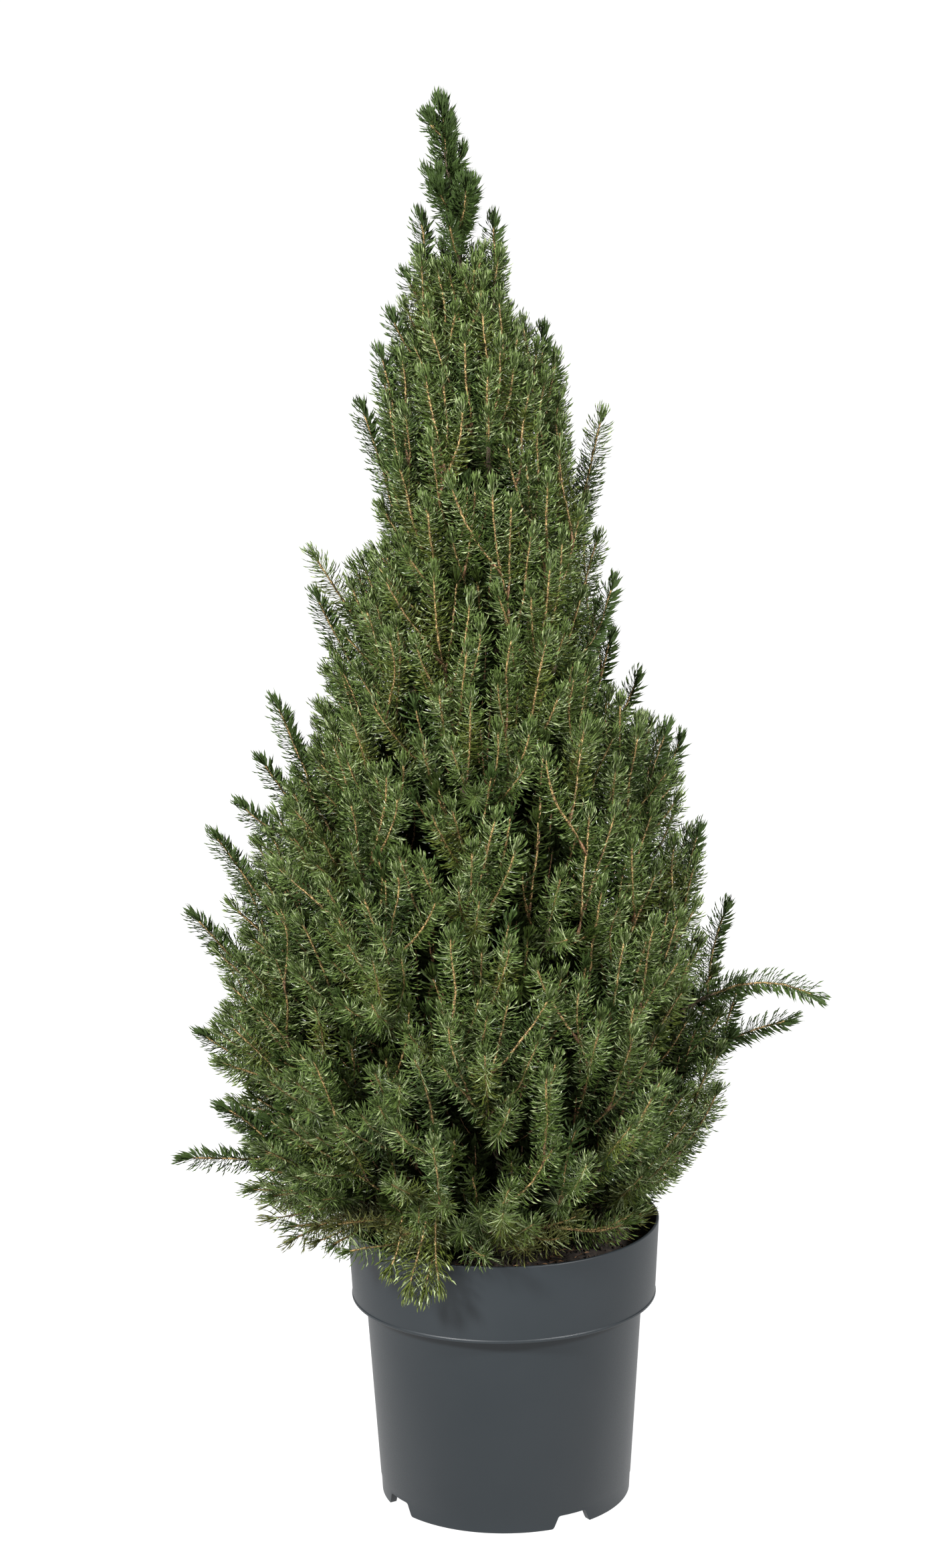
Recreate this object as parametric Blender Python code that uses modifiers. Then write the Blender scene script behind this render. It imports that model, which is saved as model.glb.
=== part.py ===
"""A potted dwarf Alberta spruce: a dense, leaning cone of upright shoots in a grey nursery pot.

Metres, +Z up. The origin is on the ground under the middle of the pot. +X is the side to which the
two long low shoots reach, and -Y is the front. Run it with: blender --background --python part.py
"""

import math
import random
from collections import namedtuple

import bmesh
import bpy
import numpy as np
from mathutils import Matrix, Vector

# ---------------------------------------------------------------- driving dimensions

GAP = 0.0003  # between solids that would touch
UP = Vector((0.0, 0.0, 1.0))
GOLDEN_ANGLE = math.radians(137.508)
GOLDEN_SHARE = 0.618034

POT_HEIGHT = 0.175
RIM_RADIUS = 0.095
COLLAR_FOOT_RADIUS = 0.0925
COLLAR_FOOT_HEIGHT = 0.1265
BODY_TOP_RADIUS = 0.0845
BODY_FOOT_RADIUS = 0.0763
WALL = 0.0018
RIM_ROUNDING = 0.0006
FOOT_RING_WIDTH = 0.0042
BASE_UNDERSIDE = 0.0092
STEP_INSIDE = (2.0, 2.6)  # in walls, how high the step under the collar stands on its inner side
POT_SEGMENTS = 40
NOTCH_COUNT = 4
NOTCH_FIRST_AZIMUTH = math.radians(-59.0)  # from +X; the others follow a quarter turn apart
NOTCH_WIDTH = 0.0225
NOTCH_HEIGHT = 0.0083
NOTCH_FLARE = 0.0045  # how much wider the notch is at the ground than at its top

SOIL_TOP = 0.158
SOIL_SEGMENTS = 28
SOIL_BUMP = 0.0013
SOIL_FLAT_RADIUS = 0.022  # level round the trunk's foot
SOIL_RINGS = (0.48, 0.68, 0.86)  # shares of its radius at which the compost is rumpled
SOIL_OVER_STEP = (0.6, 1.2)  # in walls, how far the compost stands above the step's inner side

TRUNK_TIP = 0.740
TRUNK_FOOT_RADIUS = 0.0078
TRUNK_TIP_RADIUS = 0.0022
TRUNK_TAPER = 0.75
ROOT_FLARE = 0.0050
ROOT_FLARE_HEIGHT = 0.010
ROOT_LOBES = 5
ROOT_LOBE_DEPTH = 0.10
TRUNK_PATH = (  # height, and how far the trunk stands to +X and to +Y there
    (0.158, 0.000, 0.000),
    (0.350, 0.005, -0.003),
    (0.520, 0.008, 0.002),
    (0.620, -0.008, 0.004),
    (0.740, -0.019, 0.002),
)

CROWN = (  # height, the crown's reach to -X and its reach to +X there
    (0.150, 0.135, 0.085),
    (0.215, 0.170, 0.114),
    (0.290, 0.182, 0.152),
    (0.350, 0.176, 0.137),
    (0.420, 0.158, 0.121),
    (0.480, 0.122, 0.104),
    (0.525, 0.104, 0.072),
    (0.575, 0.099, 0.065),
    (0.605, 0.070, 0.062),
    (0.650, 0.075, 0.050),
    (0.705, 0.069, 0.038),
    (0.728, 0.058, 0.020),
    (0.755, 0.050, 0.010),
    (0.800, 0.046, -0.002),
    (0.850, 0.037, -0.017),
)
SMOOTHING = 0.04  # the reach of heights over which the trunk's path is rounded
SMOOTHING_STEPS = 4
CROWN_DEPTH = 1.0  # the crown's front-to-back reach, as a share of its sideways reach
LEAN = (  # height, and the angle from upright at which shoots stand at the crown's edge there
    (0.15, 82.0),
    (0.20, 66.0),
    (0.26, 46.0),
    (0.34, 34.0),
    (0.45, 26.0),
    (0.56, 21.0),
    (0.70, 14.0),
    (0.85, 4.0),
)
LEAN_TO_LEFT = 0.33  # shoots on the -X side lean out by this share more, those on the +X side less

MASSES = 36  # less those that a stray one takes the place of
STRAY_ROOM = 0.050  # between a stray mass's tip and any other mass's tip, at least
MASSES_ON_BOUGHS = 12  # the lowest; higher ones grow straight from the trunk
LOWEST_TIP = 0.202
HIGHEST_TIP = 0.780
HEIGHT_STEPS = 400
FEWEST_SPRAYS = 5
NARROWEST = 0.060  # the crown counts as at least this wide when masses are shared out
FIRST_AZIMUTH = math.radians(200.0)
BOUGH_RISE = 0.92  # a bough leaves the trunk this many reaches below its tip
LEAST_RISE = 0.080
LOW_SLOPE = 0.45  # how steeply boughs leave the foot of the trunk
TOP_SLOPE = 1.80  # and its tip
LOWEST_BOUGH = 0.175
LINE_STEPS = 24
LEAVING_PULL = 0.30  # how far a line keeps the way it leaves the trunk, as a share of its span
TIP_PULL = 0.42
LIMB_CLEARANCE = 0.0012
START_STEP = 0.0010
LINE_CHECKS = 70
TRUNK_CHECKS = 40
LIMB_CHECKS = 12
CHECKED_LIMB = (0.04, 0.70)  # the shares of a line that keep the room of a bare limb
LONGEST_LEAD = 0.62  # of a mass's line is its leading spray, at most
BOUGH_SHARE = 0.30  # of the way from the trunk to the tip is a bare bough
BOUGH_RADIUS = 0.0031
BOUGH_ROOT = 0.8  # of the trunk's radius is a bough's, at most, where it starts
STEM_TIP_RADIUS = 0.0012
STEM_STEPS = 5
STEM_END = 0.3  # of a spray's length short of the mass's tip
JOINT_RUN = 0.004  # the straight stretch on each side of the gap between a bough and its mass
JOINT_AHEAD = 0.02  # of a line's length, over which its way at a joint or a ring is taken

SPRAY_RADIUS = 0.0145  # from the shoot's middle to the needles' tips
SLIM_SPRAY_RADIUS = 0.0095
SLIMMING_FROM = 0.45
SPRAY_ROOT_RADIUS = 0.0009  # sunk in the stem
FIRST_RING_REACH = 0.78
LAST_RING_REACH = 0.82
RING_PLACE = 0.45  # of the way along its own stretch of the spray
TOOTH_LEAN = 0.0090  # how far a needle's tip stands ahead of its root
SPRAY_LENGTH = 0.088
SHORTEST_SPRAY = 0.034
SPRAY_STEPS = 6
KNEE = 0.45  # where along its length a side spray turns
BEYOND_KNEE = 0.58
RING_PITCH = 0.0190  # between the rings of needles that stand out of a spray's core
CORE_SHARE = 0.50
NEEDLES_A_RING = 2
SPRAYS_A_METRE = 31.0  # of the mass's stem
SPRAY_BASES = (0.12, 0.84)  # the shares of a stem between which its sprays leave it
TRIES_A_SPRAY = 3
AHEAD = 0.04  # of the stem's length, over which its own direction is taken
STRAY_TURN = 0.4  # radians that a spray strays round the stem from the golden angle, at most
LENGTH_SPREAD = (0.80, 1.15)
RADIUS_SPREAD = (0.90, 1.05)
UNDERSIDE = -0.3  # a spray that leaves more downwards than this is a shorter one
UNDERSIDE_LENGTH = 0.7
LEAVING_ALONG = 0.6  # of the stem's own way is in the way that a spray leaves it
ENDING_ACROSS = 0.32  # of the way off the stem is in the way that a spray ends
SHORTENING = 0.8  # a spray that has no room is tried again this much shorter
SLIMMING = 0.95  # and a leading spray this much slimmer
CROWDING = 1.10  # radii that the outer halves of one mass's sprays stay apart, at least
CROWN_MARGIN = 0.004  # how far past the crown's outline a side spray's tip may reach
SOIL_ROOM = 0.002  # between needles and the compost, at least
POT_ROOM = 0.001  # and the pot

TRUNK_RINGS = 16
TRUNK_RING_SPREAD = 1.15  # rings lie closer together near the foot
TRUNK_SIDES = 10
BOUGH_RINGS = 4
BOUGH_SIDES = 6
STEM_SIDES = 4

PLASTIC_COLOUR = (0.115, 0.130, 0.142)
COMPOST_COLOUR = (0.030, 0.020, 0.014)
BARK_COLOUR = (0.150, 0.095, 0.055)
NEEDLE_COLOUR = (0.085, 0.130, 0.040)
POT_CREASE = 35.0  # degrees between faces that show as an edge
BARK_CREASE = 50.0

STRAYS = (  # name, where and how steeply it leaves the trunk, its tip and the tip's way, bare share
    ("left", 0.197, 0.20, (-0.200, -0.015, 0.219), (-1.00, -0.10, 0.05), 0.42),
    ("right", 0.215, 0.45, (0.194, -0.042, 0.317), (1.00, -0.10, -0.72), 0.42),
    ("right_low", 0.195, 0.45, (0.183, 0.010, 0.295), (1.00, 0.10, 0.14), 0.42),
    ("rim", 0.166, 0.80, (-0.048, -0.113, 0.157), (-0.04, -0.16, -0.98), 0.34),
    ("shoulder_left", 0.445, 0.90, (-0.111, -0.010, 0.592), (-0.45, 0.00, 0.90), 0.0),
    ("shoulder_right", 0.516, 1.20, (0.064, 0.006, 0.670), (0.16, 0.00, 0.99), 0.0),
    ("leader", 0.740, 9.00, (-0.029, 0.000, 0.850), (-0.06, 0.00, 1.00), 0.0),
)

Spray = namedtuple("Spray", "points radius")
Mass = namedtuple("Mass", "name share line stem sprays")
Plan = namedtuple("Plan", "name azimuth start slope tip direction share")


# ---------------------------------------------------------------- the rule of growth


def row_value(table, height, column):
    """A column of a table of heights, read straight between its rows."""
    if height <= table[0][0]:
        return table[0][column]
    for low, high in zip(table, table[1:]):
        if height <= high[0]:
            share = (height - low[0]) / (high[0] - low[0])
            return low[column] + (high[column] - low[column]) * share
    return table[-1][column]


def smooth_value(table, height, column):
    """row_value with its corners rounded, by averaging over a short reach of heights."""
    steps = range(-SMOOTHING_STEPS, SMOOTHING_STEPS + 1)
    total = sum(row_value(table, height + SMOOTHING * k / SMOOTHING_STEPS, column) for k in steps)
    return total / len(steps)


def trunk_point(height):
    return Vector(
        (smooth_value(TRUNK_PATH, height, 1), smooth_value(TRUNK_PATH, height, 2), height)
    )


def trunk_radius(height):
    share = min(1.0, max(0.0, (height - SOIL_TOP) / (TRUNK_TIP - SOIL_TOP)))
    stem = TRUNK_FOOT_RADIUS + (TRUNK_TIP_RADIUS - TRUNK_FOOT_RADIUS) * share**TRUNK_TAPER
    return stem + ROOT_FLARE * math.exp(-max(0.0, height - SOIL_TOP) / ROOT_FLARE_HEIGHT)


def crown_size(height):
    """The crown's middle, to +X, and its radius at a height."""
    left, right = row_value(CROWN, height, 1), row_value(CROWN, height, 2)
    return (right - left) / 2, (right + left) / 2


def crown_edge(height, azimuth):
    middle, radius = crown_size(height)
    across = radius * math.cos(azimuth)
    deep = radius * CROWN_DEPTH * math.sin(azimuth)
    return Vector((middle + across, deep, height))


def outside_crown(point):
    """How far a point lies outside the crown's outline, sideways."""
    middle, radius = crown_size(point.z)
    return math.hypot(point.x - middle, point.y / CROWN_DEPTH) - radius


def spray_radius(height):
    """Shoots are slimmer near the top."""
    share = min(1.0, max(0.0, (height - SLIMMING_FROM) / (CROWN[-1][0] - SLIMMING_FROM)))
    return SPRAY_RADIUS + (SLIM_SPRAY_RADIUS - SPRAY_RADIUS) * share


def outward(azimuth):
    return Vector((math.cos(azimuth), math.sin(azimuth), 0.0))


def edge_direction(height, azimuth):
    """The way that shoots point at the crown's edge."""
    side = 1.0 - LEAN_TO_LEFT * math.cos(azimuth)
    lean = math.radians(row_value(LEAN, height, 1)) * side
    return outward(azimuth) * math.sin(lean) + UP * math.cos(lean)


def bezier(a, b, c, d, share):
    rest = 1.0 - share
    return (
        a * rest**3 + b * 3 * rest**2 * share + c * 3 * rest * share**2 + d * share**3
    )


def bend(a, b, c, share):
    """A point on the curve from a to c that is drawn towards b."""
    rest = 1.0 - share
    return a * rest**2 + b * 2 * rest * share + c * share**2


def tip_heights(count):
    """Heights that spread the tips evenly over the crown's surface, from low to high."""
    steps = HEIGHT_STEPS
    span = HIGHEST_TIP - LOWEST_TIP
    heights = [LOWEST_TIP + span * k / steps for k in range(steps + 1)]
    grown = [0.0]
    for height in heights[1:]:
        grown.append(grown[-1] + max(NARROWEST, crown_size(height)[1]))
    wanted = [grown[-1] * (k + 0.5) / count for k in range(count)]
    return [heights[min(steps, sum(g < w for g in grown))] for w in wanted]


def mass_line(plan):
    """The line of a bough and its mass's stem: out from the trunk, then turning to its tip."""
    span = (plan.tip - plan.start).length
    leaving = (outward(plan.azimuth) + UP * plan.slope).normalized()
    near = plan.start + leaving * span * LEAVING_PULL
    far = plan.tip - plan.direction * span * TIP_PULL
    shares = [k / LINE_STEPS for k in range(LINE_STEPS + 1)]
    return [bezier(plan.start, near, far, plan.tip, share) for share in shares]


def stretch(points, start, end, count):
    """count + 1 points along a line, from one share of its length to another."""
    lengths = [0.0]
    for a, b in zip(points, points[1:]):
        lengths.append(lengths[-1] + (b - a).length)
    found = []
    for k in range(count + 1):
        wanted = lengths[-1] * (start + (end - start) * k / count)
        i = max(0, min(len(points) - 2, sum(x < wanted for x in lengths) - 1))
        share = (wanted - lengths[i]) / (lengths[i + 1] - lengths[i])
        found.append(points[i].lerp(points[i + 1], share))
    return found


def line_length(points):
    return sum((b - a).length for a, b in zip(points, points[1:]))


class Room:
    """The space already taken, as balls along each limb and spray, and who holds it."""

    STEP = 0.004
    MARGIN = 0.0007  # a ball chain is this much slimmer than the shape it stands for, at most

    def __init__(self):
        self.centres = np.zeros((0, 3))
        self.radii = np.zeros(0)
        self.owners = np.zeros(0, int)

    def balls(self, points):
        count = max(2, math.ceil(line_length(points) / self.STEP))
        return np.array(stretch(points, 0.0, 1.0, count))

    def take(self, points, radius, owner):
        balls = self.balls(points)
        self.centres = np.vstack([self.centres, balls])
        self.radii = np.append(self.radii, np.full(len(balls), radius))
        self.owners = np.append(self.owners, np.full(len(balls), owner))

    def fits(self, points, radius, owner):
        """Whether a spray keeps clear of what others hold, and its outer half of its own mass."""
        balls = self.balls(points)
        apart = np.linalg.norm(balls[:, None] - self.centres[None], axis=2)
        free = apart - self.radii[None] - radius - GAP - self.MARGIN
        strangers = self.owners != owner
        outer = apart[len(balls) // 2 :, ~strangers]
        crowded = outer.size and outer.min() < radius * CROWDING
        return not crowded and (not strangers.any() or free[:, strangers].min() > 0)


def clear_of_pot(points, radius):
    """Whether a shape of this radius along the points keeps off the soil and the pot."""
    for point in points:
        from_axis = math.hypot(point.x, point.y)
        if point.z - radius > POT_HEIGHT + GAP:
            continue
        over_soil = point.z - radius > SOIL_TOP + SOIL_ROOM
        inside = over_soil and from_axis + radius < RIM_RADIUS - WALL - POT_ROOM
        if not inside and from_axis - radius < RIM_RADIUS + POT_ROOM:
            return False
    return True


def spray_line(base, leaving, final, length):
    """A spray's middle line: it leaves one way and turns to another."""
    knee = base + leaving * length * KNEE
    tip = knee + final * length * BEYOND_KNEE
    return [bend(base, knee, tip, k / SPRAY_STEPS) for k in range(SPRAY_STEPS + 1)]


def side_sprays(owner, stem, azimuth, room, chance):
    """Sprays that leave the stem all round it and turn the way that shoots stand there."""
    found = []
    wanted = max(FEWEST_SPRAYS, round(line_length(stem) * SPRAYS_A_METRE))
    low, high = SPRAY_BASES
    for turn in range(wanted * TRIES_A_SPRAY):
        share = low + (high - low) * ((turn * GOLDEN_SHARE) % 1.0)
        base, ahead = stretch(stem, share, share + AHEAD, 1)
        along = (ahead - base).normalized()
        across = along.orthogonal().normalized()
        angle = turn * GOLDEN_ANGLE + chance.uniform(-STRAY_TURN, STRAY_TURN)
        across.rotate(Matrix.Rotation(angle, 3, along))
        length = SPRAY_LENGTH * chance.uniform(*LENGTH_SPREAD)
        if across.z < UNDERSIDE:
            length *= UNDERSIDE_LENGTH
        final = edge_direction(base.z, azimuth)
        leaving = (along * LEAVING_ALONG + across).normalized()
        turned = (final + across * ENDING_ACROSS).normalized()
        radius = spray_radius(base.z) * chance.uniform(*RADIUS_SPREAD)
        while length > SHORTEST_SPRAY:
            line = spray_line(base, leaving, turned, length)
            inside = outside_crown(line[-1]) < CROWN_MARGIN
            if inside and clear_of_pot(line, radius) and room.fits(line[1:], radius, owner):
                room.take(line[1:], radius, owner)
                found.append(Spray(line, radius))
                break
            length *= SHORTENING
        if len(found) >= wanted:
            break
    return found


def stray_plans():
    found = []
    for name, start, slope, tip, direction, share in STRAYS:
        azimuth = math.atan2(tip[1], tip[0])
        way = Vector(direction).normalized()
        found.append(Plan(name, azimuth, trunk_point(start), slope, Vector(tip), way, share))
    return found


def regular_plans(strays):
    """Where each mass's line starts on the trunk and where it ends, from low to high."""
    found = []
    for k, height in enumerate(tip_heights(MASSES)):
        azimuth = FIRST_AZIMUTH + k * GOLDEN_ANGLE
        tip = crown_edge(height, azimuth)
        if min((tip - stray.tip).length for stray in strays) < STRAY_ROOM:
            continue
        rise = max(LEAST_RISE, (tip - trunk_point(height)).length * BOUGH_RISE)
        start = max(LOWEST_BOUGH, height - rise)
        climb = (start - LOWEST_BOUGH) / (TRUNK_TIP - LOWEST_BOUGH)
        slope = LOW_SLOPE + (TOP_SLOPE - LOW_SLOPE) * climb
        share = BOUGH_SHARE if len(found) < MASSES_ON_BOUGHS else 0.0
        name = f"{len(found) + 1:02d}"
        way = edge_direction(height, azimuth)
        found.append(Plan(name, azimuth, trunk_point(start), slope, tip, way, share))
    return found


def too_close(line, others):
    """Whether a line, outside the trunk, comes nearer to another than two boughs may lie."""
    mine = [p for p in line if (p - trunk_point(p.z)).length > trunk_radius(p.z)]
    apart = np.linalg.norm(np.array(mine)[:, None] - np.array(others)[None], axis=2)
    return apart.min() < 2 * BOUGH_RADIUS + LIMB_CLEARANCE


def plans():
    """All the masses from low to high, started higher on the trunk until their lines are clear."""
    strays = stray_plans()
    settled, others = [], [(0.0, 0.0, 0.0)]
    for plan in sorted(regular_plans(strays) + strays, key=lambda plan: plan.tip.z):
        line = stretch(mass_line(plan), 0.0, 1.0, LINE_CHECKS)
        while too_close(line, others):
            plan = plan._replace(start=trunk_point(plan.start.z + START_STEP))
            line = stretch(mass_line(plan), 0.0, 1.0, LINE_CHECKS)
        others += [tuple(point) for point in line]
        settled.append(plan)
    return settled


def grow():
    """The masses of foliage: each with its line from the trunk, its stem and its sprays."""
    room = Room()
    step = (TRUNK_TIP - SOIL_TOP) / TRUNK_CHECKS
    for k in range(TRUNK_CHECKS):
        low = SOIL_TOP + step * k
        room.take([trunk_point(low), trunk_point(low + step)], trunk_radius(low), -1)
    settled = plans()
    lines = [mass_line(plan) for plan in settled]
    for owner, line in enumerate(lines):
        room.take(stretch(line, *CHECKED_LIMB, LIMB_CHECKS), BOUGH_RADIUS, owner)
    leaders = []
    for owner, (plan, line) in enumerate(zip(settled, lines)):
        lead = min(LONGEST_LEAD, SPRAY_LENGTH / line_length(line))
        leader = stretch(line, 1.0 - lead, 1.0, SPRAY_STEPS)
        radius = spray_radius(plan.tip.z)
        while not clear_of_pot(leader, radius):
            radius *= SLIMMING
        room.take(leader, radius, owner)
        leaders.append(Spray(leader, radius))
    masses = []
    for owner, (plan, line) in enumerate(zip(settled, lines)):
        chance = random.Random(owner + 1)
        end = 1.0 - STEM_END * SPRAY_LENGTH / line_length(line)
        stem = stretch(line, plan.share, end, STEM_STEPS)
        sprays = [leaders[owner]]
        sprays += side_sprays(owner, stem, plan.azimuth, room, chance)
        masses.append(Mass(plan.name, plan.share, line, stem, sprays))
    return masses


# ---------------------------------------------------------------- making solids


def clear_scene():
    for thing in list(bpy.data.objects):
        bpy.data.objects.remove(thing, do_unlink=True)


def collection(name):
    made = bpy.data.collections.new(name)
    bpy.context.scene.collection.children.link(made)
    return made


def plain_material(name, colour, roughness):
    made = bpy.data.materials.new(name)
    made.use_nodes = True
    shader = made.node_tree.nodes["Principled BSDF"]
    shader.inputs["Base Color"].default_value = (*colour, 1.0)
    shader.inputs["Roughness"].default_value = roughness
    shader.inputs["Metallic"].default_value = 0.0
    made.diffuse_color = (*colour, 1.0)
    return made


def place(name, mesh, into):
    thing = bpy.data.objects.new(name, mesh)
    into.objects.link(thing)
    return thing


def as_cutter(thing):
    thing.hide_render = True
    thing.display_type = "WIRE"
    return thing


def evaluated_mesh(thing):
    """The object's mesh with its modifiers, or its curve, worked out."""
    bpy.context.view_layer.update()
    seen = thing.evaluated_get(bpy.context.evaluated_depsgraph_get())
    return bpy.data.meshes.new_from_object(seen)


def welded(mesh, distance=1e-6):
    shape = bmesh.new()
    shape.from_mesh(mesh)
    bmesh.ops.remove_doubles(shape, verts=shape.verts, dist=distance)
    bmesh.ops.recalc_face_normals(shape, faces=shape.faces)
    shape.to_mesh(mesh)
    shape.free()
    return mesh


def apply_modifiers(thing):
    made = evaluated_mesh(thing)
    thing.modifiers.clear()
    old, thing.data = thing.data, made
    bpy.data.meshes.remove(old)


def turned(name, profile, segments, into):
    """A solid of revolution. The profile runs up its inner side and down its outer side."""
    mesh = bpy.data.meshes.new(name)
    edges = [(k, k + 1) for k in range(len(profile) - 1)]
    mesh.from_pydata([(r, 0.0, z) for r, z in profile], edges, [])
    thing = place(name, mesh, into)
    screw = thing.modifiers.new("Turn", "SCREW")
    screw.steps = screw.render_steps = segments
    screw.use_merge_vertices = True
    screw.merge_threshold = 0.0001
    return thing


def tube(name, points, radii, sides, into):
    """A closed tube along points, made a mesh. An even number of sides."""
    curve = bpy.data.curves.new(name, "CURVE")
    curve.dimensions = "3D"
    curve.bevel_depth = 1.0
    curve.bevel_resolution = sides // 2 - 2
    curve.use_fill_caps = True
    spline = curve.splines.new("POLY")
    spline.points.add(len(points) - 1)
    for spot, point, radius in zip(spline.points, points, radii):
        spot.co = (*point, 1.0)
        spot.radius = radius
    guide = place(name + "_line", curve, into)
    mesh = welded(evaluated_mesh(guide))
    mesh.name = name
    thing = place(name, mesh, into)
    bpy.data.objects.remove(guide)
    return thing


def boolean(thing, operation, other, solver):
    cut = thing.modifiers.new(operation.title(), "BOOLEAN")
    cut.operation = operation
    cut.solver = solver
    if isinstance(other, bpy.types.Collection):
        cut.operand_type = "COLLECTION"
        cut.collection = other
    else:
        cut.object = other
    return cut


# ---------------------------------------------------------------- pot and soil


def wall_radius(height):
    """The body's outer radius under the collar."""
    share = height / COLLAR_FOOT_HEIGHT
    return BODY_FOOT_RADIUS + (BODY_TOP_RADIUS - BODY_FOOT_RADIUS) * share


def make_pot(into, cutters):
    floor = BASE_UNDERSIDE + WALL
    step = COLLAR_FOOT_HEIGHT - WALL
    profile = [
        (0.0, floor),
        (wall_radius(floor) - WALL, floor),
        (wall_radius(step) - WALL, step + WALL * STEP_INSIDE[0]),
        (COLLAR_FOOT_RADIUS - WALL, step + WALL * STEP_INSIDE[1]),
        (RIM_RADIUS - WALL, POT_HEIGHT - RIM_ROUNDING),
        (RIM_RADIUS - WALL + RIM_ROUNDING, POT_HEIGHT),
        (RIM_RADIUS - RIM_ROUNDING, POT_HEIGHT),
        (RIM_RADIUS, POT_HEIGHT - RIM_ROUNDING),
        (COLLAR_FOOT_RADIUS, COLLAR_FOOT_HEIGHT + WALL),
        (COLLAR_FOOT_RADIUS - WALL / 2, COLLAR_FOOT_HEIGHT),
        (wall_radius(step), step),
        (BODY_FOOT_RADIUS, 0.0),
        (BODY_FOOT_RADIUS - FOOT_RING_WIDTH, 0.0),
        (BODY_FOOT_RADIUS - FOOT_RING_WIDTH, BASE_UNDERSIDE),
        (0.0, BASE_UNDERSIDE),
    ]
    pot = turned("pot", profile, POT_SEGMENTS, into)
    notches = [notch_cutter(k, cutters) for k in range(NOTCH_COUNT)]
    for notch in notches:
        boolean(pot, "DIFFERENCE", notch, "EXACT")
    return pot


def notch_cutter(index, cutters):
    """A block as deep as the foot ring, wider at the ground than at its top."""
    azimuth = NOTCH_FIRST_AZIMUTH + index * math.tau / NOTCH_COUNT
    depth = FOOT_RING_WIDTH * 3
    middle = BODY_FOOT_RADIUS - FOOT_RING_WIDTH / 2
    shape = bmesh.new()
    bmesh.ops.create_cube(shape, size=1.0)
    for corner in shape.verts:
        at_ground = corner.co.z < 0
        corner.co.x *= depth
        corner.co.y *= NOTCH_WIDTH + (NOTCH_FLARE if at_ground else -NOTCH_FLARE)
        corner.co.z = -NOTCH_HEIGHT if at_ground else NOTCH_HEIGHT
    mesh = bpy.data.meshes.new(f"notch_{index}")
    shape.to_mesh(mesh)
    shape.free()
    notch = as_cutter(place(f"notch_{index}", mesh, cutters))
    notch.location = outward(azimuth) * middle
    notch.rotation_euler.z = azimuth
    return notch


def make_soil(into):
    """The compost that fills the pot, level round the trunk and lightly rumpled elsewhere."""
    floor = BASE_UNDERSIDE + WALL + GAP
    step = COLLAR_FOOT_HEIGHT + WALL
    in_collar = COLLAR_FOOT_RADIUS - WALL - GAP * 2
    rings = [in_collar * share for share in SOIL_RINGS]
    profile = [
        (0.0, SOIL_TOP),
        (SOIL_FLAT_RADIUS, SOIL_TOP),
        *((radius, SOIL_TOP) for radius in rings),
        (in_collar, SOIL_TOP - SOIL_BUMP),
        (in_collar, step + WALL * SOIL_OVER_STEP[1]),
        (wall_radius(step) - WALL - GAP * 3, step + WALL * SOIL_OVER_STEP[0]),
        (wall_radius(floor) - WALL - GAP * 2, floor),
        (0.0, floor),
    ]
    soil = turned("soil", profile, SOIL_SEGMENTS, into)
    apply_modifiers(soil)
    chance = random.Random(7)
    for spot in soil.data.vertices:
        if rings[0] - GAP < math.hypot(spot.co.x, spot.co.y) < rings[-1] + GAP:
            if spot.co.z > SOIL_TOP - GAP:
                spot.co.z += chance.uniform(-SOIL_BUMP, SOIL_BUMP)
    return soil


# ---------------------------------------------------------------- trunk, boughs and foliage


def trunk_solid(name, extra, into):
    """The trunk, or the trunk made thicker by a margin all round."""
    foot, tip = SOIL_TOP + GAP, TRUNK_TIP + extra
    shares = [(k / TRUNK_RINGS) ** TRUNK_RING_SPREAD for k in range(TRUNK_RINGS + 1)]
    heights = [foot + (tip - foot) * share for share in shares]
    points = [trunk_point(height) for height in heights]
    radii = [trunk_radius(height) + extra for height in heights]
    trunk = tube(name, points, radii, TRUNK_SIDES, into)
    for spot in trunk.data.vertices:
        above = spot.co.z - SOIL_TOP
        if above < ROOT_FLARE_HEIGHT:
            turn = math.atan2(spot.co.y, spot.co.x)
            fading = 1.0 - above / ROOT_FLARE_HEIGHT
            lobe = 1.0 + ROOT_LOBE_DEPTH * math.cos(ROOT_LOBES * turn) * fading
            spot.co.x *= lobe
            spot.co.y *= lobe
    return trunk


def bough_radius(line, share):
    """A bough tapers to its tip, and where it starts it is slimmer than the trunk there."""
    root = min(BOUGH_RADIUS, trunk_radius(line[0].z) * BOUGH_ROOT)
    return root + (STEM_TIP_RADIUS - root) * share


def make_bough(mass, cutter, into):
    """A bare limb from the trunk's surface to where it enters its mass."""
    share = mass.share
    points = stretch(mass.line, 0.0, share, BOUGH_RINGS)
    ahead = stretch(mass.line, share, share + JOINT_AHEAD, 1)
    along = (ahead[1] - ahead[0]).normalized()
    points.insert(-1, points[-1] - along * JOINT_RUN)
    radii = [bough_radius(mass.line, share * k / BOUGH_RINGS) for k in range(BOUGH_RINGS + 1)]
    radii.insert(-1, radii[-1])
    bough = tube("bough_" + mass.name, points, radii, BOUGH_SIDES, into)
    boolean(bough, "DIFFERENCE", cutter, "MANIFOLD")
    apply_modifiers(bough)
    return bough


def make_stem(mass, into):
    """The stem of a mass: it starts just clear of its bough's tip, or inside the trunk."""
    share = mass.share
    points = list(mass.stem)
    if share > 0.0:
        along = (stretch(mass.line, share, share + JOINT_AHEAD, 1)[1] - points[0]).normalized()
        start = points[0]
        points[0] = start + along * GAP
        points.insert(1, start + along * (GAP + JOINT_RUN))
    last = len(points) - 1
    radii = [
        bough_radius(mass.line, share + (1.0 - share) * k / last) for k in range(len(points))
    ]
    return tube("stem_" + mass.name, points, radii, STEM_SIDES, into)


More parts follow.
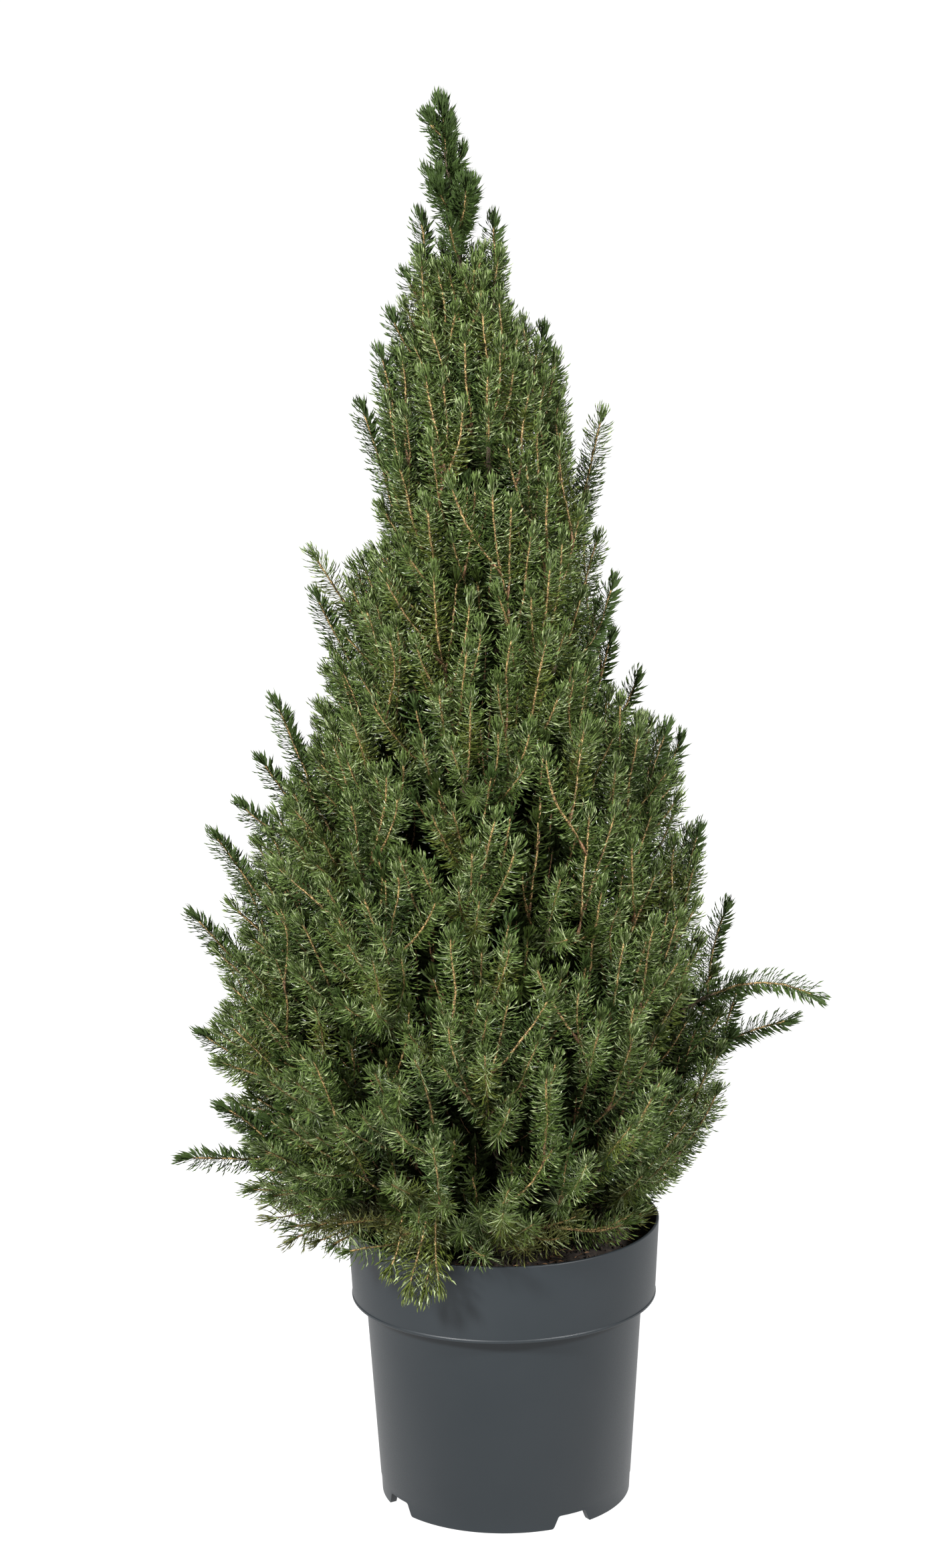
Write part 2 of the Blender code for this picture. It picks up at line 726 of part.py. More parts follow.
def spray_rings(spray):
    """For each ring of a spray: its share of the length, its two radii and its teeth's lean."""
    count = max(3, round(line_length(spray.points) / RING_PITCH))
    rings = [(0.0, SPRAY_ROOT_RADIUS, SPRAY_ROOT_RADIUS, 0.0)]
    for k in range(count):
        reach = spray.radius
        if k == 0:
            reach *= FIRST_RING_REACH
        if k == count - 1:
            reach *= LAST_RING_REACH
        core = spray.radius * CORE_SHARE
        rings.append(((k + RING_PLACE) / count, reach, core, TOOTH_LEAN))
    return rings


def set_ring(ring, k, middle, along, across, reach, core, lean):
    """Put a ring's corners round a point: every other one is a tooth that leans forward."""
    beside = along.cross(across)
    for c, corner in enumerate(ring):
        turn = math.tau * c / len(ring)
        tooth = (c + k) % 2 == 0
        spoke = across * math.cos(turn) + beside * math.sin(turn)
        corner.co = middle + spoke * (reach if tooth else core)
        if tooth:
            corner.co += along * lean


def make_spray(name, spray, into):
    """A shoot with its needles as a toothed spindle, drawn out ring by ring from its root."""
    shape = bmesh.new()
    made = bmesh.ops.create_circle(shape, cap_ends=True, segments=NEEDLES_A_RING * 2, radius=1.0)
    ring = made["verts"]
    face = ring[0].link_faces[0]
    across = (spray.points[1] - spray.points[0]).orthogonal()
    for k, (share, reach, core, lean) in enumerate(spray_rings(spray)):
        if k > 0:
            made = bmesh.ops.extrude_face_region(shape, geom=[face])["geom"]
            fresh = {item.co[:]: item for item in made if isinstance(item, bmesh.types.BMVert)}
            ring = [fresh[corner.co[:]] for corner in ring]
            if k > 1:
                bmesh.ops.delete(shape, geom=[face], context="FACES_ONLY")
            face = next(item for item in made if isinstance(item, bmesh.types.BMFace))
        middle, ahead = stretch(spray.points, share, share + JOINT_AHEAD, 1)
        along = (ahead - middle).normalized()
        across = (across - along * across.dot(along)).normalized()
        set_ring(ring, k, middle, along, across, reach, core, lean)
    tip = bmesh.ops.poke(shape, faces=[face])["verts"][0]
    tip.co = spray.points[-1]
    bmesh.ops.triangulate(shape, faces=shape.faces[:], quad_method="SHORT_EDGE")
    bmesh.ops.recalc_face_normals(shape, faces=shape.faces[:])
    mesh = bpy.data.meshes.new(name)
    shape.to_mesh(mesh)
    shape.free()
    return place(name, mesh, into)


def keep_main_body(thing):
    """Drop loose scraps, and with them the walls of any hollow that joining sealed."""
    shape = bmesh.new()
    shape.from_mesh(thing.data)
    left = set(shape.verts)
    bodies = []
    while left:
        body, front = set(), [left.pop()]
        while front:
            spot = front.pop()
            body.add(spot)
            for edge in spot.link_edges:
                other = edge.other_vert(spot)
                if other in left:
                    left.remove(other)
                    front.append(other)
        bodies.append(body)
    bodies.sort(key=len)
    for body in bodies[:-1]:
        bmesh.ops.delete(shape, geom=list(body), context="VERTS")
    shape.to_mesh(thing.data)
    shape.free()


def is_closed(thing):
    shape = bmesh.new()
    shape.from_mesh(thing.data)
    closed = all(edge.is_manifold for edge in shape.edges) and len(shape.faces) > 0
    shape.free()
    return closed


def make_mass(mass, trunk_cutter, into):
    """A mass of foliage: its sprays joined to its stem, and cut clear of the trunk."""
    stem = make_stem(mass, into)
    bare = stem.data.copy()
    loose = collection("sprays_" + mass.name)
    for k, spray in enumerate(mass.sprays):
        make_spray(f"spray_{mass.name}_{k}", spray, loose)
    for solver in ("EXACT", "MANIFOLD"):
        stem.data = bare.copy()
        boolean(stem, "UNION", loose, solver)
        apply_modifiers(stem)
        if is_closed(stem):
            break
    for spray in list(loose.objects):
        bpy.data.objects.remove(spray)
    bpy.data.collections.remove(loose)
    if mass.share == 0.0:
        boolean(stem, "DIFFERENCE", trunk_cutter, "MANIFOLD")
        apply_modifiers(stem)
    keep_main_body(stem)
    stem.name = "foliage_" + mass.name
    stem.data.name = stem.name
    return stem


# ---------------------------------------------------------------- the whole plant


def dress(thing, surface, smooth_angle=None):
    thing.data.materials.clear()
    thing.data.materials.append(surface)
    if smooth_angle is not None:
        thing.data.shade_smooth()
        thing.data.set_sharp_from_angle(angle=math.radians(smooth_angle))


def main():
    clear_scene()
    plant = collection("potted_alberta_spruce")
    cutters = collection("cutters")
    plastic = plain_material("pot_plastic", PLASTIC_COLOUR, 0.55)
    compost = plain_material("compost", COMPOST_COLOUR, 0.95)
    bark = plain_material("bark", BARK_COLOUR, 0.85)
    needles = plain_material("needles", NEEDLE_COLOUR, 0.60)

    dress(make_pot(plant, cutters), plastic, POT_CREASE)
    dress(make_soil(plant), compost, POT_CREASE)
    dress(trunk_solid("trunk", 0.0, plant), bark, BARK_CREASE)
    trunk_cutter = as_cutter(trunk_solid("trunk_clearance", GAP, cutters))

    for mass in grow():
        if mass.share > 0.0:
            dress(make_bough(mass, trunk_cutter, plant), bark, BARK_CREASE)
        dress(make_mass(mass, trunk_cutter, plant), needles)


main()
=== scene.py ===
"""The looks of a potted dwarf Alberta spruce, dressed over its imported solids.

Metres, +Z up, in the solids' own frame: the origin is on the ground under the middle of the pot.
The plant grows here by the same rule as its solids, then on to finer shoots and single needles.
"""

import math
import random
from collections import namedtuple

import bmesh
import bpy
import numpy as np
from mathutils import Matrix, Vector, noise


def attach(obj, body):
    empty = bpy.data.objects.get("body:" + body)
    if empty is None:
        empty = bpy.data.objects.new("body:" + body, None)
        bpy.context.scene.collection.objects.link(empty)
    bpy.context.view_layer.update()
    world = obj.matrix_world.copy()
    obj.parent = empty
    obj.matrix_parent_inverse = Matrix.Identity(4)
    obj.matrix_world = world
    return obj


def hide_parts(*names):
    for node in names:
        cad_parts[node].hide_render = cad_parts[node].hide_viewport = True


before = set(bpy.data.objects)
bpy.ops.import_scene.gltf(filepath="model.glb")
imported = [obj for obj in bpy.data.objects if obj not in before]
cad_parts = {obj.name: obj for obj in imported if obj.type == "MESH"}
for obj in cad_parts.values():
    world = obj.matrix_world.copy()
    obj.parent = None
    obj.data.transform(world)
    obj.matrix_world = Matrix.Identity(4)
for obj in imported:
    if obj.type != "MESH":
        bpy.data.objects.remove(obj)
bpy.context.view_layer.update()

Spray = namedtuple("Spray", "points radius")
Mass = namedtuple("Mass", "name share line stem sprays")
Plan = namedtuple("Plan", "name azimuth start slope tip direction share")
Shoot = namedtuple("Shoot", "line needles depth kind")
Dress = namedtuple("Dress", "rate tuft length width opening")

# ---------------- driving dimensions, as the solids have

GAP = 0.0003  # between solids that would touch
UP = Vector((0.0, 0.0, 1.0))
GOLDEN_ANGLE = math.radians(137.508)
GOLDEN_SHARE = 0.618034

POT_HEIGHT = 0.175
RIM_RADIUS = 0.095
COLLAR_FOOT_RADIUS = 0.0925
COLLAR_FOOT_HEIGHT = 0.1265
BODY_TOP_RADIUS = 0.0845
BODY_FOOT_RADIUS = 0.0763
WALL = 0.0018
FOOT_RING_WIDTH = 0.0042
BASE_UNDERSIDE = 0.0092
NOTCH_COUNT = 4
NOTCH_FIRST_AZIMUTH = math.radians(-59.0)  # from +X; the others follow a quarter turn apart
NOTCH_WIDTH = 0.0225
NOTCH_HEIGHT = 0.0083
NOTCH_FLARE = 0.0045  # how much wider the notch is at the ground than at its top

SOIL_TOP = 0.158

TRUNK_TIP = 0.740
TRUNK_FOOT_RADIUS = 0.0078
TRUNK_TIP_RADIUS = 0.0022
TRUNK_TAPER = 0.75
ROOT_FLARE = 0.0050
ROOT_FLARE_HEIGHT = 0.010
ROOT_LOBES = 5
TRUNK_PATH = (  # height, and how far the trunk stands to +X and to +Y there
    (0.158, 0.000, 0.000),
    (0.350, 0.005, -0.003),
    (0.520, 0.008, 0.002),
    (0.620, -0.008, 0.004),
    (0.740, -0.019, 0.002),
)
SMOOTHING = 0.04
SMOOTHING_STEPS = 4

CROWN = (  # height, the crown's reach to -X and its reach to +X there
    (0.150, 0.135, 0.085),
    (0.215, 0.170, 0.114),
    (0.290, 0.182, 0.152),
    (0.350, 0.176, 0.137),
    (0.420, 0.158, 0.121),
    (0.480, 0.122, 0.104),
    (0.525, 0.104, 0.072),
    (0.575, 0.099, 0.065),
    (0.605, 0.070, 0.062),
    (0.650, 0.075, 0.050),
    (0.705, 0.069, 0.038),
    (0.728, 0.058, 0.020),
    (0.755, 0.050, 0.010),
    (0.800, 0.046, -0.002),
    (0.850, 0.037, -0.017),
)
LEAN = (  # height, and the angle from upright at which shoots stand at the crown's edge there
    (0.15, 82.0),
    (0.20, 66.0),
    (0.26, 46.0),
    (0.34, 34.0),
    (0.45, 26.0),
    (0.56, 21.0),
    (0.70, 14.0),
    (0.85, 4.0),
)
LEAN_TO_LEFT = 0.33  # shoots on the -X side lean out by this share more, those on the +X side less

MASSES = 36  # less those that a stray one takes the place of
STRAY_ROOM = 0.050  # between a stray mass's tip and any other mass's tip, at least
MASSES_ON_BOUGHS = 12  # the lowest; higher ones grow straight from the trunk
LOWEST_TIP = 0.202
HIGHEST_TIP = 0.780
HEIGHT_STEPS = 400
FEWEST_SPRAYS = 5
NARROWEST = 0.060  # the crown counts as at least this wide when masses are shared out
FIRST_AZIMUTH = math.radians(200.0)
BOUGH_RISE = 0.92  # a bough leaves the trunk this many reaches below its tip
LEAST_RISE = 0.080
LOW_SLOPE = 0.45  # how steeply boughs leave the foot of the trunk
TOP_SLOPE = 1.80  # and its tip
LOWEST_BOUGH = 0.175
LIMB_CLEARANCE = 0.0012
START_STEP = 0.0010
LINE_STEPS = 24
LEAVING_PULL = 0.30  # how far a line keeps the way it leaves the trunk, as a share of its span
TIP_PULL = 0.42
LINE_CHECKS = 70
TRUNK_CHECKS = 40
LIMB_CHECKS = 12
CHECKED_LIMB = (0.04, 0.70)  # the shares of a line that keep the room of a bare limb
LONGEST_LEAD = 0.62  # of a mass's line is its leading spray, at most
BOUGH_SHARE = 0.30  # of the way from the trunk to the tip is a bare bough
BOUGH_RADIUS = 0.0031
BOUGH_ROOT = 0.8  # of the trunk's radius is a bough's, at most, where it starts
STEM_TIP_RADIUS = 0.0012
STEM_STEPS = 5
STEM_END = 0.3  # of a spray's length short of the mass's tip

SPRAY_RADIUS = 0.0145  # from the shoot's middle to the needles' tips
SLIM_SPRAY_RADIUS = 0.0095
SLIMMING_FROM = 0.45
SPRAY_LENGTH = 0.088
SHORTEST_SPRAY = 0.034
SPRAY_STEPS = 6
KNEE = 0.45  # where along its length a side spray turns
BEYOND_KNEE = 0.58
SPRAY_BASES = (0.12, 0.84)  # the shares of a stem between which its sprays leave it
SPRAYS_A_METRE = 31.0  # of the mass's stem
CROWDING = 1.10  # radii that the outer halves of one mass's sprays stay apart, at least
CROWN_MARGIN = 0.004  # how far past the crown's outline a side spray's tip may reach
TRIES_A_SPRAY = 3
AHEAD = 0.04  # of the stem's length, over which its own direction is taken
STRAY_TURN = 0.4  # radians that a spray strays round the stem from the golden angle, at most
LENGTH_SPREAD = (0.80, 1.15)
RADIUS_SPREAD = (0.90, 1.05)
UNDERSIDE = -0.3  # a spray that leaves more downwards than this is a shorter one
UNDERSIDE_LENGTH = 0.7
LEAVING_ALONG = 0.6  # of the stem's own way is in the way that a spray leaves it
ENDING_ACROSS = 0.32  # of the way off the stem is in the way that a spray ends
SHORTENING = 0.8  # a spray that has no room is tried again this much shorter
SLIMMING = 0.95
SOIL_ROOM = 0.002
POT_ROOM = 0.001

STRAYS = (  # name, where and how steeply it leaves the trunk, its tip and the tip's way, bare share
    ("left", 0.197, 0.20, (-0.200, -0.015, 0.219), (-1.00, -0.10, 0.05), 0.42),
    ("right", 0.215, 0.45, (0.194, -0.042, 0.317), (1.00, -0.10, -0.72), 0.42),
    ("right_low", 0.195, 0.45, (0.183, 0.010, 0.295), (1.00, 0.10, 0.14), 0.42),
    ("rim", 0.166, 0.80, (-0.048, -0.113, 0.157), (-0.04, -0.16, -0.98), 0.34),
    ("shoulder_left", 0.445, 0.90, (-0.111, -0.010, 0.592), (-0.45, 0.00, 0.90), 0.0),
    ("shoulder_right", 0.516, 1.20, (0.064, 0.006, 0.670), (0.16, 0.00, 0.99), 0.0),
    ("leader", 0.740, 9.00, (-0.029, 0.000, 0.850), (-0.06, 0.00, 1.00), 0.0),
)

# ---------------- finer growth

OUTLINE_LEFT = (  # height and reach to -X of the shoot tips that stand out of the crown's outline
    (0.843, 0.0385),
    (0.812, 0.038),
    (0.787, 0.043),
    (0.766, 0.044),
    (0.753, 0.052),
    (0.731, 0.061),
    (0.710, 0.068),
    (0.676, 0.080),
    (0.584, 0.078),
    (0.566, 0.110),
    (0.505, 0.135),
    (0.467, 0.145),
    (0.442, 0.157),
    (0.425, 0.173),
    (0.372, 0.189),
    (0.316, 0.191),
    (0.297, 0.187),
    (0.247, 0.174),
)
OUTLINE_RIGHT = (  # and to +X
    (0.840, -0.0235),
    (0.824, -0.017),
    (0.806, -0.010),
    (0.785, 0.001),
    (0.780, -0.013),
    (0.720, 0.030),
    (0.705, 0.036),
    (0.575, 0.070),
    (0.538, 0.070),
    (0.512, 0.086),
    (0.488, 0.102),
    (0.476, 0.111),
    (0.426, 0.121),
    (0.371, 0.140),
)
OUTLINE_LENGTHS = (0.07, 0.10)
OUTLINE_OFFSET = 0.018  # how far in front of the pot's middle or behind it they end, at most
OUTLINE_ROOM = 0.005
BUDS_FROM = 0.745  # from this height on a shoot of the outline is a side bud of the leader
BUD_OFFSET = 0.004  # and how far the leader's buds do
BUD_ROOM = 0.004
FILLERS = (  # kind, tip and way of shoots that fill out the leader and the bunch at the rim
    ("edge", (-0.035, -0.008, 0.845), (-0.15, -0.20, 0.96)),
    ("edge", (-0.026, 0.010, 0.843), (0.12, 0.25, 0.95)),
    ("edge", (-0.030, -0.016, 0.812), (-0.02, -0.40, 0.90)),
    ("edge", (-0.025, 0.017, 0.806), (-0.02, 0.40, 0.90)),
    ("edge", (-0.026, -0.022, 0.785), (-0.02, -0.45, 0.88)),
    ("edge", (-0.024, 0.023, 0.779), (-0.02, 0.45, 0.88)),
    ("rim", (-0.058, -0.112, 0.160), (-0.25, -0.30, -0.92)),
    ("rim", (-0.037, -0.114, 0.163), (0.20, -0.30, -0.93)),
    ("rim", (-0.070, -0.104, 0.170), (-0.35, -0.60, -0.70)),
)
FILLER_LENGTH = 0.05
LAYERS = (  # shoots, their tips' depth as shares of the crown's radius, room, lengths
    (480, 0.00, 0.08, 0.0118, 0.080, 0.125),
    (360, 0.08, 0.24, 0.0112, 0.070, 0.110),
    (300, 0.24, 0.48, 0.0122, 0.060, 0.090),
    (420, 0.48, 0.97, 0.0108, 0.060, 0.090),
)
HOLLOW_SCALE = 17.0  # the crown's surface is hollowed between its boughs: bumps a metre
HOLLOW_DEPTH = 0.36  # of the crown's radius, at most
DEEPEST = 0.97  # of the crown's radius is the deepest that a tip stands
STRAY_DRESS = {  # the kind of shoots that a stray mass bears, where it isn't the usual one
    "left": "stray",
    "right": "stray",
    "right_low": "stray",
    "rim": "rim",
    "leader": "leader",
}
SHOOT_SEED = 11
LOWEST_SHOOT = 0.166
HIGHEST_SHOOT = 0.768
TRIES_A_SHOOT = 40
UPRIGHT_INSIDE = 0.5  # how much of their lean shoots lose towards the crown's middle
SLIMMEST_CROWN = 0.02  # the crown counts as at least this wide when that is worked out
WANDER = 0.0035  # how far a twig strays from its smooth line
WANDER_SCALE = 30.0
NOISE_SEED = 7  # so that twigs wander the same way each time
SHOOT_TURN = math.radians(9.0)  # that a shoot strays from its rule, at most
LEAST_TWIG = 0.065  # from a limb to the tip of a shoot that grows on it
BUD_TWIG = 0.018  # and of a side bud of the leader
TURN_COST = 10.0  # how much further off a limb counts when the twig would have to turn
LEAST_IN_LINE = 0.35  # cosine between a twig's straight way and its shoot's way, at least
NOWHERE = 1e9
TWIG_OUTWARD = 0.25  # how far a twig leaves its limb outwards rather than straight to its tip
TWIG_LEAVING_PULL = 0.22
TWIG_TIP_PULL = 0.58
TWIG_STEPS = 12
NEEDLED_SHARE = 0.85  # of a twig is the shoot that bears needles, at most
BEARING_SHARE = 0.6  # the lower part of a shoot that bears twigs in turn
BEARING_STEPS = 4
CHECKED_TWIG = (0.25, 1.0)  # the shares of a twig that keep off the pot
TWIG_CHECKS = 8
ROOM_CHECKS = 6
BARE_FOOT = 0.02  # of the trunk, above the soil
STRAIGHTER = 0.60  # how much of its bend a side spray's shoot loses
TIP_ROOM = 0.0085  # a stem ends this far short of its needles' furthest tips
AXIS_STEP = 0.008
LOW_ROOM = 0.3  # of the room that a shoot's tip needs is enough at its lower end
SHOOT_CLEARANCE = 0.0065  # that a shoot's middle line keeps from the pot and the soil

NEEDLE_WIDTH = 0.00060
FRONTED_WIDTH = 0.00062
INNER_NEEDLE_WIDTH = 0.0012
DEEP_NEEDLE_WIDTH = 0.0028
DRESSES = {  # needles a metre and in the tuft, their length and width, and the angle they stand at
    "crown": Dress(4200.0, 44, 0.0112, NEEDLE_WIDTH, math.radians(66.0)),
    "low": Dress(4000.0, 42, 0.0116, NEEDLE_WIDTH, math.radians(71.0)),
    "inner": Dress(2100.0, 24, 0.0112, INNER_NEEDLE_WIDTH, math.radians(64.0)),
    "deep": Dress(1500.0, 12, 0.0120, DEEP_NEEDLE_WIDTH, math.radians(58.0)),
    "skirt": Dress(2200.0, 26, 0.0132, NEEDLE_WIDTH, math.radians(66.0)),
    "rim": Dress(3000.0, 34, 0.0132, NEEDLE_WIDTH, math.radians(56.0)),
    "edge": Dress(4300.0, 50, 0.0110, FRONTED_WIDTH, math.radians(60.0)),
    "stray": Dress(3500.0, 46, 0.0114, FRONTED_WIDTH, math.radians(60.0)),
    "leader": Dress(7600.0, 130, 0.0135, FRONTED_WIDTH, math.radians(52.0)),
}
OLD_DRESS = DRESSES["deep"]._replace(rate=800.0)
OLD_DEPTH = 0.022  # how deep inside the crown older wood lies that bears wide needles darkened as painted shade
OLD_TOP = 0.71  # and how high
BUDS = (0, 2)  # side buds a shoot, at least and at most
BUD_NEEDLES = 12
BUD_LENGTH = (0.002, 0.006)
BUD_TILT = 0.9
BUD_SPREAD = 0.42
BUD_PLACES = (0.10, 0.80)  # the shares of a shoot between which they stand
BUD_NEEDLE_LENGTHS = (0.55, 0.85)  # of the shoot's own needles
TUFT_RUN = 0.0060
TUFT_OPENING = math.radians(26.0)
TUFT_CROWDING = 0.7  # less than 1 puts more needles at the tuft's edge than in its middle
TUFT_LENGTH = 0.90
BASE_OPENING = math.radians(8.0)  # by this much wider needles stand at a shoot's foot
BASE_RUN = 0.02
BASE_SHORTER = 0.15  # by this share needles are shorter there
BASE_SHORTER_RUN = 0.01
SPOKE_SPREAD = 0.25  # radians that a needle strays round its stem
OUTER_RISE = 0.45  # the way from which those angles count, up for each one outwards
OPENING_RUN = 0.0085  # how far below the tip needles come to stand at the body's angle
NEEDLE_TURN = math.radians(8.5)
NEEDLE_LENGTHS = (0.80, 1.10)
NEEDLE_BOW = 0.11  # of its length that a needle's middle stands out of its straight line
NEEDLE_KNEE = 0.40  # where the widest ones are widest
NEEDLE_FACES = np.array([[0, 1, 3], [0, 3, 2], [2, 3, 4]])
WIDE_NEEDLE_FACES = np.array([[0, 2, 1], [1, 2, 3]])
NEEDLE_CORNERS = (  # along a needle, across it, and its share of the bow there
    (0.00, -0.80, 0.00),
    (0.00, 0.80, 0.00),
    (0.45, -1.00, 0.99),
    (0.82, 1.00, 0.59),
    (1.00, -0.30, 0.00),
)
FRONTED = ("edge", "stray", "leader")  # kinds of shoot that stand out of the outline
FRONTED_SPREAD = 0.4  # how loosely their needles face the front
FRESH_RUN = 0.017  # below a shoot's tip, where its needles are this year's
SKIRT_TOP = 0.205  # below this the shoots are sparse and pale
LOW_TOP = 0.40  # below this the needles stand off wider than above it
INNER_DEPTH = 0.019
DEEP_DEPTH = 0.034
DEEP_SHARE = 0.55  # of the crown's radius, which counts where the crown is slim


# ---------------- the rule of growth


def row_value(table, height, column):
    """A column of a table of heights, read straight between its rows."""
    if height <= table[0][0]:
        return table[0][column]
    for low, high in zip(table, table[1:]):
        if height <= high[0]:
            share = (height - low[0]) / (high[0] - low[0])
            return low[column] + (high[column] - low[column]) * share
    return table[-1][column]


def smooth_value(table, height, column):
    """row_value with its corners rounded, by averaging over a short reach of heights."""
    steps = range(-SMOOTHING_STEPS, SMOOTHING_STEPS + 1)
    total = sum(row_value(table, height + SMOOTHING * k / SMOOTHING_STEPS, column) for k in steps)
    return total / len(steps)


def trunk_point(height):
    return Vector(
        (smooth_value(TRUNK_PATH, height, 1), smooth_value(TRUNK_PATH, height, 2), height)
    )


def trunk_radius(height):
    share = min(1.0, max(0.0, (height - SOIL_TOP) / (TRUNK_TIP - SOIL_TOP)))
    stem = TRUNK_FOOT_RADIUS + (TRUNK_TIP_RADIUS - TRUNK_FOOT_RADIUS) * share**TRUNK_TAPER
    return stem + ROOT_FLARE * math.exp(-max(0.0, height - SOIL_TOP) / ROOT_FLARE_HEIGHT)


def crown_size(height):
    """The crown's middle, to +X, and its radius at a height."""
    left, right = row_value(CROWN, height, 1), row_value(CROWN, height, 2)
    return (right - left) / 2, (right + left) / 2


def crown_edge(height, azimuth, depth=0.0):
    """A point on the crown's outline, or this deep inside it."""
    middle, radius = crown_size(height)
    reach = radius - depth
    return Vector((middle + reach * math.cos(azimuth), reach * math.sin(azimuth), height))


def outside_crown(point):
    """How far a point lies outside the crown's outline, sideways."""
    middle, radius = crown_size(point.z)
    return math.hypot(point.x - middle, point.y) - radius


def spray_radius(height):
    """Shoots are slimmer near the top."""
    share = min(1.0, max(0.0, (height - SLIMMING_FROM) / (CROWN[-1][0] - SLIMMING_FROM)))
    return SPRAY_RADIUS + (SLIM_SPRAY_RADIUS - SPRAY_RADIUS) * share


def outward(azimuth):
    return Vector((math.cos(azimuth), math.sin(azimuth), 0.0))


def edge_direction(height, azimuth):
    """The way that shoots point at the crown's edge."""
    side = 1.0 - LEAN_TO_LEFT * math.cos(azimuth)
    lean = math.radians(row_value(LEAN, height, 1)) * side
    return outward(azimuth) * math.sin(lean) + UP * math.cos(lean)


def bezier(a, b, c, d, share):
    rest = 1.0 - share
    return (
        a * rest**3 + b * 3 * rest**2 * share + c * 3 * rest * share**2 + d * share**3
    )


def bend(a, b, c, share):
    """A point on the curve from a to c that is drawn towards b."""
    rest = 1.0 - share
    return a * rest**2 + b * 2 * rest * share + c * share**2


def tip_heights(count, lowest=LOWEST_TIP, highest=HIGHEST_TIP):
    """Heights that spread the tips evenly over the crown's surface, from low to high."""
    steps = HEIGHT_STEPS
    heights = [lowest + (highest - lowest) * k / steps for k in range(steps + 1)]
    grown = [0.0]
    for height in heights[1:]:
        grown.append(grown[-1] + max(NARROWEST, crown_size(height)[1]))
    wanted = [grown[-1] * (k + 0.5) / count for k in range(count)]
    return [heights[min(steps, sum(g < w for g in grown))] for w in wanted]


def mass_line(plan):
    """The line of a bough and its mass's stem: out from the trunk, then turning to its tip."""
    span = (plan.tip - plan.start).length
    leaving = (outward(plan.azimuth) + UP * plan.slope).normalized()
    near = plan.start + leaving * span * LEAVING_PULL
    far = plan.tip - plan.direction * span * TIP_PULL
    shares = [k / LINE_STEPS for k in range(LINE_STEPS + 1)]
    return [bezier(plan.start, near, far, plan.tip, share) for share in shares]


def stretch(points, start, end, count):
    """count + 1 points along a line, from one share of its length to another."""
    lengths = [0.0]
    for a, b in zip(points, points[1:]):
        lengths.append(lengths[-1] + (b - a).length)
    found = []
    for k in range(count + 1):
        wanted = lengths[-1] * (start + (end - start) * k / count)
        i = max(0, min(len(points) - 2, sum(x < wanted for x in lengths) - 1))
        share = (wanted - lengths[i]) / (lengths[i + 1] - lengths[i])
        found.append(points[i].lerp(points[i + 1], share))
    return found


def line_length(points):
    return sum((b - a).length for a, b in zip(points, points[1:]))


class Room:
    """The space already taken, as balls along each limb and spray, and who holds it."""

    STEP = 0.004
    MARGIN = 0.0007  # a ball chain is this much slimmer than the shape it stands for, at most

    def __init__(self):
        self.centres = np.zeros((0, 3))
        self.radii = np.zeros(0)
        self.owners = np.zeros(0, int)

    def balls(self, points):
        count = max(2, math.ceil(line_length(points) / self.STEP))
        return np.array(stretch(points, 0.0, 1.0, count))

    def take(self, points, radius, owner):
        balls = self.balls(points)
        self.centres = np.vstack([self.centres, balls])
        self.radii = np.append(self.radii, np.full(len(balls), radius))
        self.owners = np.append(self.owners, np.full(len(balls), owner))

    def fits(self, points, radius, owner):
        """Whether a spray keeps clear of what others hold, and its outer half of its own mass."""
        balls = self.balls(points)
        apart = np.linalg.norm(balls[:, None] - self.centres[None], axis=2)
        free = apart - self.radii[None] - radius - GAP - self.MARGIN
        strangers = self.owners != owner
        outer = apart[len(balls) // 2 :, ~strangers]
        crowded = outer.size and outer.min() < radius * CROWDING
        return not crowded and (not strangers.any() or free[:, strangers].min() > 0)


def clear_of_pot(points, radius):
    """Whether a shape of this radius along the points keeps off the soil and the pot."""
    for point in points:
        from_axis = math.hypot(point.x, point.y)
        if point.z - radius > POT_HEIGHT + GAP:
            continue
        over_soil = point.z - radius > SOIL_TOP + SOIL_ROOM
        inside = over_soil and from_axis + radius < RIM_RADIUS - WALL - POT_ROOM
        if not inside and from_axis - radius < RIM_RADIUS + POT_ROOM:
            return False
    return True


def spray_line(base, leaving, final, length):
    """A spray's middle line: it leaves one way and turns to another."""
    knee = base + leaving * length * KNEE
    tip = knee + final * length * BEYOND_KNEE
    return [bend(base, knee, tip, k / SPRAY_STEPS) for k in range(SPRAY_STEPS + 1)]


